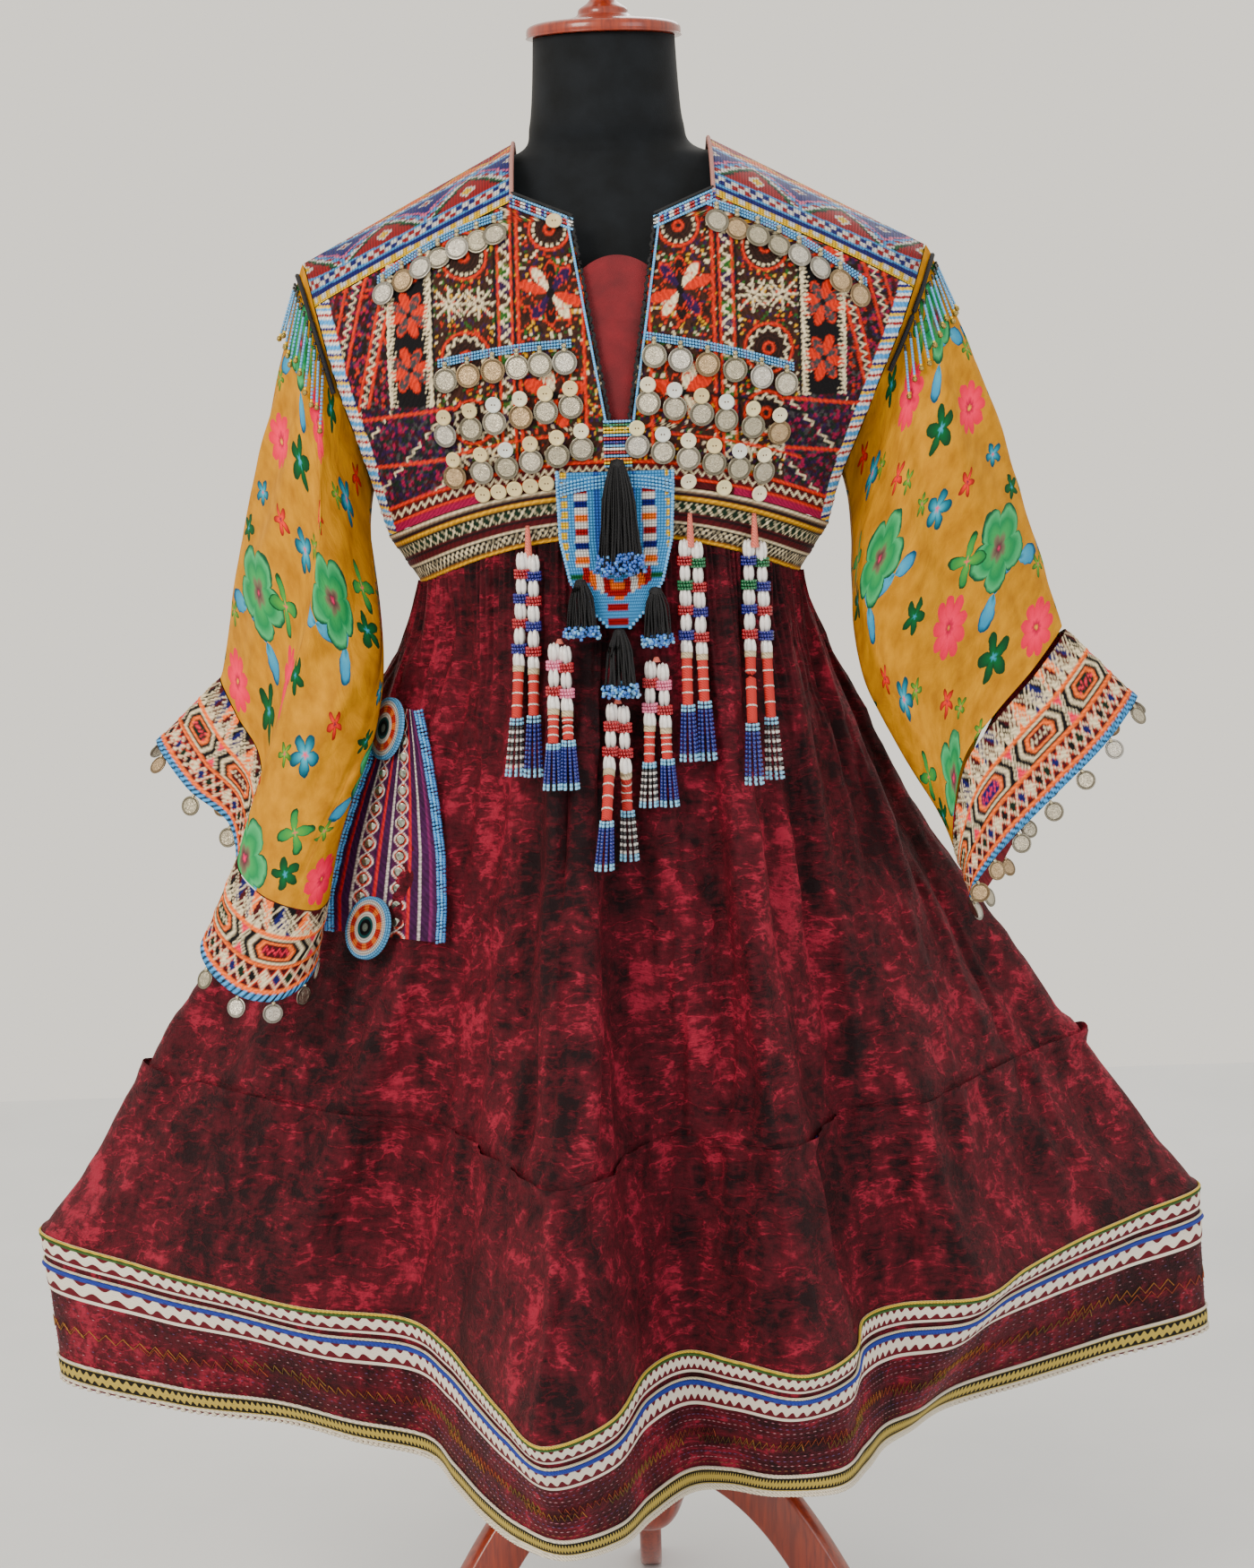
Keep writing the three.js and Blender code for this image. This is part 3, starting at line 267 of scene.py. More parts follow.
def clothMesh(name, points, material, uvSize, closed=False, tint=None, inside=None):
    # a grid surface with uv in metres (0..uvSize each way), faces turned away from `inside`
    rows, columns = points.shape[:2]
    faces = gridFaces(rows, columns, closed)
    spans = rows if closed else rows - 1
    u = np.arange(spans + 1) / spans * uvSize[0]
    v = np.arange(columns) / (columns - 1) * uvSize[1]
    i = np.repeat(np.arange(spans), columns - 1)
    j = np.tile(np.arange(columns - 1), spans)
    uv = np.stack([np.stack([u[i + a], v[j + b]], -1)
                   for a, b in ((0, 0), (1, 0), (1, 1), (0, 1))], 1)
    flat = points.reshape(-1, 3)
    middle = np.array([0, 0, 0]) if inside is None else np.asarray(inside)
    away = (points - middle) * np.array([1, 1, 0 if inside is None else 1])
    if np.nanmean(np.sum(normalsOf(points, closed) * away, axis=-1)) < 0:
        faces, uv = faces[:, ::-1], uv[:, ::-1]
    colours = None if tint is None else np.concatenate(
        [tint.reshape(-1, 3), np.ones((flat.shape[0], 1))], axis=1)
    return meshFrom(name, flat, faces, material, uv, colours)


def closedMesh(name, rings, material):
    # rings of points stacked into a closed body, with a flat cap on each end ring
    count, size = rings.shape[:2]
    faces = gridFaces(count, size, False)
    i = np.arange(count - 1)
    last = np.stack([i * size + size - 1, (i + 1) * size + size - 1,
                     (i + 1) * size, i * size], -1)
    quads = np.concatenate([faces, last])
    ends = [rings[0].mean(axis=0), rings[-1].mean(axis=0)]
    points = np.concatenate([rings.reshape(-1, 3), ends])
    around = np.arange(size)
    beside = (around + 1) % size
    low, high = count * size, count * size + 1
    base = (count - 1) * size
    fans = np.concatenate([np.stack([around, beside, np.full(size, low)], -1),
                           np.stack([base + beside, base + around, np.full(size, high)], -1)])
    triangles = np.concatenate([quads[:, [0, 1, 2]], quads[:, [0, 2, 3]], fans])
    a, b, c = (points[triangles[:, k]] for k in range(3))
    if np.sum(a * np.cross(b, c)) < 0:
        triangles = triangles[:, ::-1]
    return meshFrom(name, points, triangles, material)


def turnedRings(profile):
    # a lathe: radius and height round the pole's axis
    around = 64
    profile = np.asarray(profile, float)
    angle = circle(around)
    radius, height = profile[:, 0, None], profile[:, 1, None]
    return np.stack([radius * np.cos(angle), radius * np.sin(angle),
                     np.broadcast_to(height, (len(profile), around))], -1)


print("stage: camera, floor and light")

view = {"distance": 2400, "height": 1170, "pitch": 9.0, "roll": 1.8, "focal": 3313.0,
        "longSide": 1750, "sensor": 36}


def makeCamera():
    # the lens in millimetres = focal length in pixels / pixels on the long side * sensor width
    data = bpy.data.cameras.new("camera")
    data.sensor_fit = "AUTO"
    data.sensor_width = view["sensor"]
    data.lens = view["focal"] / view["longSide"] * view["sensor"]
    camera = bpy.data.objects.new("camera", data)
    camera.location = toMetres([0, -view["distance"], view["height"]])
    camera.rotation_mode = "XYZ"
    camera.rotation_euler = (math.pi / 2 - math.radians(view["pitch"]), 0, 0)
    bpy.context.collection.objects.link(camera)
    bpy.context.view_layer.update()
    turned = Matrix.Rotation(-math.radians(view["roll"]), 4, "Z")
    camera.matrix_world = camera.matrix_world @ turned
    bpy.context.scene.camera = camera


makeCamera()

studio = {
    "floorLow": "#d2d4d6", "floorHigh": "#dddedf", "floorSide": 5, "floorBack": 2.05,
    "backdrop": "#f2ece0", "worldStrength": 1.38, "aim": (0, 0, 0.85),
    # name, place, size, watts and colour of each lamp
    "lamps": [("key", (-1.9, -2.6, 2.6), 1.3, 95, "#fff6ea"),
              ("fill", (2.3, -2.4, 1.7), 1.8, 24, "#eef3ff"),
              ("rim", (0.6, 2.2, 2.6), 1.4, 26, "#ffffff")],
}


def makeFloor():
    # painted pale floor: matt with a faint unevenness
    material, tree, shader = newMaterial("pale painted floor")
    cloud = noise(tree, objectPlace(tree), 3.0, 4.0)
    setInputs(tree, shader, {
        "Base Color": ramp(tree, cloud, [(0.3, studio["floorLow"]), (0.7, studio["floorHigh"])]),
        "Roughness": 0.55})
    mesh = bpy.data.meshes.new("floor")
    side, back = studio["floorSide"], studio["floorBack"]
    corners = [(-side, -side, 0), (side, -side, 0), (side, back, 0), (-side, back, 0)]
    mesh.from_pydata(corners, [], [(0, 1, 2, 3)])
    mesh.materials.append(material)
    floor = bpy.data.objects.new("floor", mesh)
    bpy.context.collection.objects.link(floor)


makeFloor()


def makeLights():
    # an even backdrop and three square lamps turned to the middle of the dress
    world = bpy.data.worlds.new("studio")
    bpy.context.scene.world = world
    world.use_nodes = True
    background = world.node_tree.nodes["Background"]
    background.inputs[0].default_value = toLinear(studio["backdrop"])
    background.inputs[1].default_value = studio["worldStrength"]
    for name, spot, size, power, code in studio["lamps"]:
        data = bpy.data.lights.new(name, "AREA")
        data.size = size
        data.energy = power
        data.color = toLinear(code)[:3]
        lamp = bpy.data.objects.new(name, data)
        lamp.location = spot
        aim = Vector(np.array(studio["aim"]) - np.array(spot))
        lamp.rotation_euler = aim.to_track_quat("-Z", "Y").to_euler()
        bpy.context.collection.objects.link(lamp)


makeLights()

print("stage: surfaces of the dress")

# Upper body from the waist seam to the shoulder line, in millimetres:
# share of the way up, half width, front depth, back depth, depth at the side, middle
bodyRows = [
    [0.0, 177, 122, 104, 2, -8],
    [0.13, 186, 126, 107, 5, -8],
    [0.3, 199, 112, 92, 22, -5],
    [0.48, 213, 100, 82, 31, -3],
    [0.66, 226, 88, 76, 31, 0],
    [0.82, 236, 70, 68, 24, 2],
    [0.94, 243, 42, 44, 12, 3],
    [1.0, 247, 0, 0, 0, 3],
]
neck = {"halfWidth": 76, "middle": 3, "height": 1306, "slope": 0.52, "backHeight": 0.83}
yokeUp = 5 / 7


def waistSeam(facing, across):
    # centre - (centre - 1000)|a|^2.2
    centre = np.where(facing < 0, 1041.0, 1010.0)
    return centre - (centre - 1000) * np.abs(across) ** 2.2


def archOf(across):
    # (1 - |a|^2.6)^0.4545
    return np.maximum(1 - np.abs(across) ** 2.6, 0) ** 0.4545


def bodyPoint(facing, across, up):
    # x = middle + a w; y = facing (edge + depth arch(a)); z from the waist seam to the shoulder
    row = between(bodyRows, up)
    x = row[..., 5] + across * row[..., 1]
    depth = np.where(facing < 0, row[..., 2], row[..., 3])
    y = facing * (row[..., 4] + depth * archOf(across))
    beyond = np.maximum(np.abs(x - neck["middle"]) - neck["halfWidth"], 0)
    shoulder = neck["height"] - neck["slope"] * beyond
    base = waistSeam(facing, across)
    return np.stack([x, y, base + (shoulder - base) * row[..., 0]], -1)


def bodyNormal(facing, across, up):
    # d(point)/d(across) x d(point)/d(up), by differences
    across = np.clip(across, -0.995, 0.995)
    du = bodyPoint(facing, across + step, up) - bodyPoint(facing, across - step, up)
    dv = (bodyPoint(facing, across, np.minimum(up + step, 1))
          - bodyPoint(facing, across, np.maximum(up - step, 0)))
    return unit(np.cross(du, dv)) * np.where(np.asarray(facing) < 0, 1, -1)[..., None]


def offBody(facing, across, up, out):
    # a point of the body moved out from the cloth
    return moved(bodyPoint(facing, across, up), bodyNormal(facing, across, up), out)


def frontPlace(x, height):
    # bisection for the across and up whose point has that x and height
    x, height = np.broadcast_arrays(np.asarray(x, float), np.asarray(height, float))
    low, high = np.zeros(x.shape), np.ones(x.shape)
    for _ in range(26):
        up = (low + high) / 2
        row = between(bodyRows, up)
        across = (x - row[..., 5]) / row[..., 1]
        under = bodyPoint(-1, across, up)[..., 2] < height
        low, high = np.where(under, up, low), np.where(under, high, up)
    return across, low


def frontPoint(x, height, out):
    # the point on the dress's front at that x and height, out from the cloth
    across, up = frontPlace(x, height)
    return offBody(-1.0, across, up, np.broadcast_to(out, across.shape))


def frontNormal(x, height):
    # the cloth's normal at that x and height on the front
    return bodyNormal(-1.0, *frontPlace(x, height))


bandHeight = 38


def waistPoint(angle, down):
    # the waistband round the body: angle in degrees, -90 in front; down 0 to 1
    turn = np.radians(angle)
    across, blend = np.cos(turn), np.abs(np.sin(turn))
    front = np.sin(turn) < 0
    upper = waistSeam(np.where(front, -1, 1), across)
    row = bodyRows[0]
    depth = np.where(front, row[2], row[3]) + row[4] * blend
    y = np.where(front, -1, 1) * depth * archOf(across) * lerp(1, 0.97, down)
    x = row[5] + across * lerp(row[1], 152, down)
    return np.stack([x, y, upper - bandHeight * down - 2 * blend * down], -1)


# Folds of the skirt, evenly spaced along the cloth: angle, then radius and height where the
# trims start, then radius and height of the hem
foldRows = [
    [-180, 502, 431, 492, 302], [-168, 414, 424, 392, 300], [-158, 362, 420, 312, 299],
    [-146, 318, 415, 276, 296], [-133, 272, 412, 250, 292], [-122, 285, 405, 276, 287],
    [-113, 324, 398, 312, 283], [-106, 374, 394, 343, 280], [-100, 427, 391, 355, 277],
    [-94, 378, 392, 328, 277], [-90, 288, 396, 286, 279], [-83, 261, 400, 246, 282],
    [-76, 290, 398, 243, 281], [-69, 331, 396, 268, 280], [-60, 312, 399, 288, 281],
    [-52, 272, 405, 272, 284], [-44, 278, 409, 256, 287], [-36, 326, 412, 256, 289],
    [-24, 335, 416, 264, 291], [-13, 366, 421, 318, 295], [-5, 412, 426, 380, 299],
    [4, 474, 429, 482, 302], [16, 420, 428, 400, 300], [28, 345, 424, 318, 297],
    [42, 300, 420, 285, 294], [54, 350, 418, 322, 292], [64, 402, 416, 372, 290],
    [74, 345, 418, 318, 292], [84, 300, 420, 282, 294], [94, 350, 417, 320, 291],
    [102, 430, 414, 400, 288], [111, 372, 416, 345, 290], [121, 310, 419, 290, 293],
    [133, 296, 422, 280, 296], [145, 330, 424, 305, 298], [156, 372, 427, 345, 300],
    [168, 434, 430, 408, 302],
]
skirt = {"tierStart": 0.74, "gathers": 54, "tierGathers": 37, "softFolds": 20}


def foldPoint(turn, lower):
    # (r cos, r sin, z) of the fold table, between the trims' edge and the hem
    rows = np.array(foldRows, float)
    angle = np.radians(rows[:, 0])
    upper, hem = (np.stack([rows[:, k] * np.cos(angle), rows[:, k] * np.sin(angle),
                            rows[:, k + 1]], -1) for k in (1, 3))
    share = np.asarray(lower)[..., None]
    return lerp(between(upper, turn, True), between(hem, turn, True), share)


def waistAngle(turn):
    # the mean of the fold's own angle and an even turn, so the gathers fan out
    whole = np.floor(turn)
    angles = np.array([row[0] for row in foldRows] + [180], float)
    own = np.interp((turn - whole) * len(foldRows), np.arange(len(angles)), angles)
    return (own - 180 + 360 * (turn - whole)) / 2 + 360 * whole


def skirtBase(turn, fall):
    # lerp(waist, fold) by fall^1.15 across and by fall in height
    top = waistPoint(waistAngle(turn), 1.0)
    low = foldPoint(turn, np.zeros(np.shape(turn)))
    spread = fall ** 1.15
    return np.stack([lerp(top[..., 0], low[..., 0], spread),
                     lerp(top[..., 1], low[..., 1], spread),
                     lerp(top[..., 2] - 0.5, low[..., 2], fall)], -1)


def skirtNormal(turn, fall):
    # d(point)/d(fall) x d(point)/d(turn), by differences
    du = skirtBase(turn + step, fall) - skirtBase(turn - step, fall)
    dv = (skirtBase(turn, np.minimum(fall + step, 1))
          - skirtBase(turn, np.maximum(fall - step, 0)))
    return -unit(np.cross(du, dv))


def skirtWave(turn, fall):
    # fine gathers that fade below the waist, and soft folds that are widest half way down
    gathers = 2.4 * np.exp(-fall / 0.1) * np.cos(fullTurn * skirt["gathers"] * turn)
    swell = np.sin(np.pi * np.minimum(fall / 0.9, 1)) ** 1.2
    folds = 6 * swell * np.cos(fullTurn * skirt["softFolds"] * turn
                               + 1.7 * np.sin(fullTurn * 5 * turn))
    return gathers + folds


def bandNormal(turn):
    # across the stiff band half way down: its slope x its run round the skirt
    half = np.full(np.shape(turn), 0.5)
    around = foldPoint(turn + step, half) - foldPoint(turn - step, half)
    down = foldPoint(turn, half * 2) - foldPoint(turn, half * 0)
    return unit(np.cross(down, around))


def offBand(turn, down, out):
    # a point of the stiff band moved out from the cloth
    return moved(foldPoint(turn, down), bandNormal(turn), out)


def offSkirt(turn, fall, out):
    # a point of the plain skirt moved out from the cloth
    return moved(skirtBase(turn, fall), skirtNormal(turn, fall), out)


# Cuffs, round each sleeve from its outer edge over the front: seam x, y, z, then edge x, y, z
rightCuffRows = [
    [357, -2, 909, 417, -4, 849], [330, -34, 880, 386, -42, 818],
    [296, -48, 845, 345, -58, 782], [270, -58, 812, 304, -68, 745],
    [259, -76, 772, 277, -84, 718], [259, -66, 741, 273, -74, 699],
    [268, -40, 760, 290, -44, 706], [282, 6, 800, 322, 8, 740],
    [310, 36, 848, 356, 40, 786], [338, 26, 888, 394, 26, 826],
]
leftCuffRows = [
    [-327, -6, 889, -381, -8, 838], [-310, -44, 862, -352, -52, 806],
    [-291, -66, 832, -316, -70, 776], [-290, -92, 792, -314, -92, 728],
    [-306, -118, 758, -337, -124, 690], [-288, -146, 738, -312, -154, 662],
    [-262, -152, 726, -278, -160, 654], [-240, -138, 722, -252, -142, 668],
    [-236, -104, 738, -250, -104, 690], [-256, -40, 786, -284, -40, 736],
    [-290, 14, 838, -330, 16, 786], [-314, 24, 874, -362, 24, 824],
]
sleeveSides = {"left": (-1, leftCuffRows), "right": (1, rightCuffRows)}


def armholePoint(side, turn):
    # round the armhole, from the shoulder's end down the front and up the back
    facing = np.where(turn < 0.5, -1.0, 1.0)
    climb = np.where(turn < 0.5, 1 - 2 * turn, 2 * turn - 1)
    point = bodyPoint(facing, np.full(np.shape(turn), float(side)), lerp(0.16, 1, climb))
    point[..., 0] += side * 1.2
    return point


def sleevePoint(side, rows, turn, along):
    # lerp(armhole, cuff seam) with a swell sin(pi a)^1.8 and six soft folds
    wrapped = turn - np.floor(turn)
    start = armholePoint(side, wrapped)
    end = between(rows, wrapped, True)[..., :3]
    point = lerp(start, end, np.asarray(along)[..., None])
    swell = np.maximum(np.sin(np.pi * along), 0) ** 1.8
    inner = (1 - np.cos(fullTurn * wrapped)) / 2
    front = np.sin(fullTurn * wrapped)
    fold = 5 * swell * np.cos(fullTurn * 6 * wrapped + 2.2 * along)
    point[..., 0] += -side * swell * (34 * inner - 4 * (1 - inner)) + fold * 0.4 * side
    point[..., 1] -= (swell * (14 * inner + 26 * front)
                      + fold * np.sign(front) * np.abs(front) ** 0.5)
    return point


def sleeveNormal(side, rows, turn, along):
    # d(point)/d(turn) x d(point)/d(along), by differences
    along = np.clip(along, 0.01, 0.99)
    du = sleevePoint(side, rows, turn + step, along) - sleevePoint(side, rows, turn - step, along)
    dv = sleevePoint(side, rows, turn, along + step) - sleevePoint(side, rows, turn, along - step)
    return unit(np.cross(du, dv)) * side


def offSleeve(side, rows, turn, along, out):
    # a point of the sleeve moved out from the cloth
    place = (side, rows, turn, along)
    return moved(sleevePoint(*place), sleeveNormal(*place), out)


def cuffPoint(rows, turn, down):
    # lerp(seam, edge)
    row = between(rows, turn, True)
    return lerp(row[..., :3], row[..., 3:], np.asarray(down)[..., None])


def cuffNormal(side, rows, turn, down):
    # d(point)/d(turn) x d(point)/d(down), by differences
    down = np.clip(down, step, 1 - step)
    du = cuffPoint(rows, turn + step, down) - cuffPoint(rows, turn - step, down)
    dv = cuffPoint(rows, turn, down + step) - cuffPoint(rows, turn, down - step)
    return unit(np.cross(du, dv)) * side


def offCuff(side, rows, turn, down, out):
    # a point of the cuff moved out from the cloth
    return moved(cuffPoint(rows, turn, down), cuffNormal(side, rows, turn, down), out)


print("stage: dress form and stand")

lacquer = {"base": "#6e1a04", "light": "#983008", "roughness": 0.32, "coat": 0.45,
           "coatRoughness": 0.1}


def lacquerMaterial():
    # turned beech under orange lacquer: a wet gloss with the grain faint beneath it
    material, tree, shader = newMaterial("orange lacquered beech")
    grain = noise(tree, mapped(tree, objectPlace(tree), (1, 1, 0.12)), 260.0, 5.0, Distortion=0.6)
    setInputs(tree, shader, {
        "Base Color": ramp(tree, grain, [(0.35, lacquer["base"]), (0.7, lacquer["light"])]),
        "Roughness": lacquer["roughness"], "Coat Weight": lacquer["coat"],
        "Coat Roughness": lacquer["coatRoughness"]})
    return material


def formMaterial():
    # black stretch jersey: fine knit, matt, with a soft sheen at the edges
    material, tree, shader = newMaterial("black cotton jersey")
    where = objectPlace(tree)
    mottle = noise(tree, where, 40.0, 6.0)
    setInputs(tree, shader, {
        "Base Color": ramp(tree, mottle, [(0.3, "#0b0e11"), (0.75, "#161a1f")]),
        "Roughness": 0.85, "Specular IOR Level": 0.2, "Sheen Weight": 0.08,
        "Sheen Roughness": 0.4, "Normal": raised(tree, noise(tree, where, 900.0), 0.25, 0.0006)})
    return material


lacquerFinish = lacquerMaterial()
jersey = formMaterial()
# the form's shoulder stays this far below the dress's, in millimetres
formGap = 4.2


def formShoulder(height):
    # half width of the sloping shoulder at a height
    return neck["halfWidth"] + (neck["height"] - formGap - height) / neck["slope"]


def makeForm():
    # sections: height, half width, depth, middle and how pointed the section is
    rows = np.array([
        [622, 150, 102, 0, 1], [645, 164, 110, 0, 1], [760, 158, 108, 0, 1],
        [860, 142, 96, 0, 1], [960, 124, 88, 0, 1], [1020, 122, 90, 0, 1],
        [1095, 144, 106, 0, 1], [1150, 166, 108, 0, 1], [1205, 190, 94, 1, 1.1],
        [1244, formShoulder(1244), 74, 3, 1.25], [1286, formShoulder(1286), 55, 3, 1.25],
        [1300, 68, 53, 1, 1.1], [1318, 61, 57, 0, 1], [1345, 58, 57, 0, 1],
        [1384.5, 56, 56, 0, 1]])
    steps = np.linspace(0, 1, (len(rows) - 1) * 7 + 1)
    row = between(rows, steps)[:, None, :]
    angle = circle(64)[None, :]
    c, s = np.cos(angle), np.sin(angle)
    rings = np.stack([row[..., 3] + row[..., 1] * np.sign(c) * np.abs(c) ** row[..., 4],
                      row[..., 2] * np.sign(s) * np.abs(s) ** row[..., 4],
                      row[..., 0] + 0 * angle], -1)
    form = closedMesh("dressForm", rings, jersey)
    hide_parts("form_torso")


def refined(profile):
    # a smooth curve through the profile's points, five steps between neighbours
    return between(profile, np.linspace(0, 1, (len(profile) - 1) * 5 + 1))


def turnedPiece(name, node, profile):
    # a lacquered turned piece
    piece = closedMesh(name, turnedRings(refined(profile)), lacquerFinish)
    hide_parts(node)


def makeStand():
    # turned cap with a finial, hub and pole, and three curved board legs
    bottom = 1385
    cap = [[0.5, 0], [30, 0], [59, 0], [60.5, 1.5], [61, 4], [60, 8], [55, 10.5], [44, 12],
           [30, 14], [21, 17], [19, 22], [12, 27], [9, 33], [12, 42], [17, 50], [17.5, 57],
           [13, 65], [6, 70], [0.4, 71]]
    hub = [[0.5, 150], [10, 150], [17, 153], [24, 162], [29, 174], [30, 182], [30, 230],
           [30, 278], [27, 288], [22, 296], [25, 304], [26, 311], [23, 322], [19, 329],
           [0.5, 330]]
    turnedPiece("neckCap", "neck_cap", [[radius, bottom + rise] for radius, rise in cap])
    turnedPiece("standHub", "stand_hub", hub)
    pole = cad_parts["stand_pole"].data
    pole.materials.clear()
    pole.materials.append(lacquerFinish)
    for leg, turn in enumerate((-30, -150, 90), 1):
        piece = closedMesh(f"standLeg{leg}", legRings(turn), lacquerFinish)
        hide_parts(f"stand_leg_{leg}")


def bezier(points, t):
    # a(1-t)3 + 3bt(1-t)2 + 3ct2(1-t) + dt3
    a, b, c, d = (np.array(p, float) for p in points)
    t = t[:, None]
    return a * (1 - t) ** 3 + 3 * b * t * (1 - t) ** 2 + 3 * c * t * t * (1 - t) + d * t ** 3


def legCurve(start, middle, end, tip):
    # two curves joined, each with its own two handles, and the tip
    t = np.linspace(0, 1, 22)
    first, second = bezier([start, *middle[:3]], t), bezier([*middle[2:], end], t)
    return np.concatenate([first, second[1:], [tip]])


def legRings(turn):
    # a board between two curves: each ring is a rounded rectangle from the upper to the lower
    start = 30.2
    upper = legCurve((start, 270), [(90, 262), (160, 190), (205, 110), (230, 66), (262, 42)],
                     (300, 34), [300, 33])
    lower = legCurve((start, 206), [(90, 200), (130, 160), (168, 90), (190, 50), (220, 16)],
                     (262, 0), [300, 0])
    half, soft = 10.0, 3.0
    edge = [(0, -half + soft), (0.3 * soft, -half + 0.3 * soft), (soft, -half)]
    size = np.linalg.norm(lower - upper, axis=1)
    down = (lower - upper) / size[:, None]
    ring = [(*spot, 0) for spot in edge] + [(*spot, 1) for spot in reversed(edge)]
    ring += [(inset, -side, low) for inset, side, low in reversed(ring)]
    rings = []
    for inset, side, low in ring:
        flat = np.where(low, lower - down * inset, upper + down * inset)
        rings.append(np.stack([flat[:, 0], np.full(len(flat), side), flat[:, 1]], -1))
    rings = np.stack(rings, 1)
    c, s = math.cos(math.radians(turn)), math.sin(math.radians(turn))
    x, y = rings[..., 0] * c - rings[..., 1] * s, rings[..., 0] * s + rings[..., 1] * c
    return np.stack([x, y, rings[..., 2]], -1)


makeForm()
makeStand()

print("stage: velvet skirt")

velvet = {"dark": "#140207", "deep": "#3a0611", "body": "#540a1a", "light": "#9c2038",
          "crushSize": 24, "creaseSize": 9, "paintedShadeSize": 120, "driftSize": 45,
          "streak": 0.6, "sheen": "#e0324e"}


def velvetMaterial():
    # crushed velvet: flattened pile lies in patches of different tones; the sharp lit creases are
    # painted highlight and the long vertical bands are painted fold shade, both in the base colour
    material, tree, shader = newMaterial("crushed burgundy velvet")
    where = objectPlace(tree)
    crush, crease, wide = (1000 / velvet[k] for k in ("crushSize", "creaseSize", "paintedShadeSize"))
    drift = addNode(tree, "TexNoise", {"Vector": where, "Scale": 1000 / velvet["driftSize"]})
    warped = vectorCalc(tree, "ADD", where,
                        vectorCalc(tree, "MULTIPLY", drift.outputs[1], (0.014, 0.014, 0.014)))
    hung = vectorCalc(tree, "MULTIPLY", warped, (1, 1, velvet["streak"]))
    slanted = mapped(tree, warped, (0.45, 1.0, 1.6), (0.5, 0.6, 0.0))
    drop = mapped(tree, warped, (1.5, 1.5, 0.36))
    patches = noise(tree, hung, crush, 9.0, Roughness=0.7)
    fine = noise(tree, slanted, crease, 8.0, Roughness=0.72)
    # long soft vertical bands, lighter and darker: painted fold shade in the base colour
    paintedFoldShade = noise(tree, drop, wide, 4.0)
    creases = noise(tree, slanted, crush, 5.0, Roughness=0.55)
    ridge = calc(tree, "ABSOLUTE", calc(tree, "SUBTRACT", creases, 0.5))
    # thin bright lines along the creases: painted highlight in the base colour
    lit = addNode(tree, "MapRange", {0: ridge, 1: 0.0, 2: 0.028, 3: 1.0, 4: 0.0}).outputs[0]
    level = scaled(tree, fine, 0.4, calc(tree, "MULTIPLY", patches, 0.6))
    level = scaled(tree, lit, 0.085, level)
    level = scaled(tree, calc(tree, "SUBTRACT", paintedFoldShade, 0.5), 0.34, level)
    colour = ramp(tree, level, [(0.42, velvet["dark"]), (0.475, velvet["deep"]),
                                (0.55, velvet["body"]), (0.64, velvet["light"])])
    setInputs(tree, shader, {
        "Base Color": colour, "Roughness": 0.6, "Specular IOR Level": 0.18, "Sheen Weight": 0.16,
        "Sheen Roughness": 0.3, "Sheen Tint": toLinear(velvet["sheen"]),
        "Normal": raised(tree, level, 1.0, 0.008)})
    return material


velvetCloth = velvetMaterial()
# heights in millimetres
folds = {"gatherRise": 3.2, "valleyDepth": 13, "creaseRise": 2.4, "crushRise": 1.1,
         "seamPucker": 2.2}


def velvetRelief(turn, fall, hang=1.0):
    # creases of the crushed cloth: noise in cells stretched down the skirt
    arc = turn * 3000
    down = fall * 600
    long = unevenness(arc + 0.3 * down, down, 30, 110, 3, 3000)
    cross = unevenness(arc, down + 0.25 * arc, 60, 24, 4)
    small = unevenness(arc, down, 15, 15, 5, 3000)
    wide = np.maximum(0, unevenness(arc - 0.1 * down, down, 80, 280, 8, 3000))
    narrow = np.maximum(0, unevenness(arc + 0.2 * down, down, 34, 190, 9, 3000))
    rise = folds["creaseRise"] * long + 1.2 * cross + folds["crushRise"] * small
    return hang * (rise - folds["valleyDepth"] * (wide + 0.6 * narrow))


def fineGathers(turn, fall):
    # many narrow gathers under the waistband, uneven in size, gone by a third of the way down
    count = 168
    drift = 0.9 * np.sin(fullTurn * 13 * turn) + 0.6 * np.sin(fullTurn * 31 * turn + 1)
    size = 0.7 + 0.3 * np.sin(fullTurn * 23 * turn + 2)
    reach = 0.10 + 0.05 * np.sin(fullTurn * 17 * turn)
    wave = np.cos(fullTurn * count * turn + drift)
    return folds["gatherRise"] * size * np.exp(-fall / reach) * wave


def makeSkirtUpper():
    # from the waistband down to just under the tier, where it turns inwards
    columns, rows = 720, 58
    turn = np.arange(columns)[:, None] / columns + np.zeros((1, rows))
    fall = np.linspace(0, 0.75, rows)[None, :] + np.zeros((columns, 1))
    hang = bump(fall / 0.12) * (1 - 0.7 * bump((fall - 0.70) / 0.039))
    out = skirtWave(turn, fall) * (1 - 0.5 * np.exp(-fall / 0.1)) + fineGathers(turn, fall)
    out = out + velvetRelief(turn, fall, hang) - 2.4 * bump((fall - 0.728) / 0.015)
    piece = clothMesh("skirtUpper", offSkirt(turn, fall, out), velvetCloth, (3.0, 0.45), True)
    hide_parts("skirt_upper")


def tierWave(turn, fall):
    # even gathers and an uneven pucker, both fading down from the tier's seam
    fade = np.exp(-(fall - skirt["tierStart"]) / 0.06)
    uneven = 0.5 * np.cos(fullTurn * 91 * turn + 2 * np.sin(fullTurn * 7 * turn))
    even = 2.6 * fade * np.cos(fullTurn * skirt["tierGathers"] * turn)
    return even + folds["seamPucker"] * fade * uneven


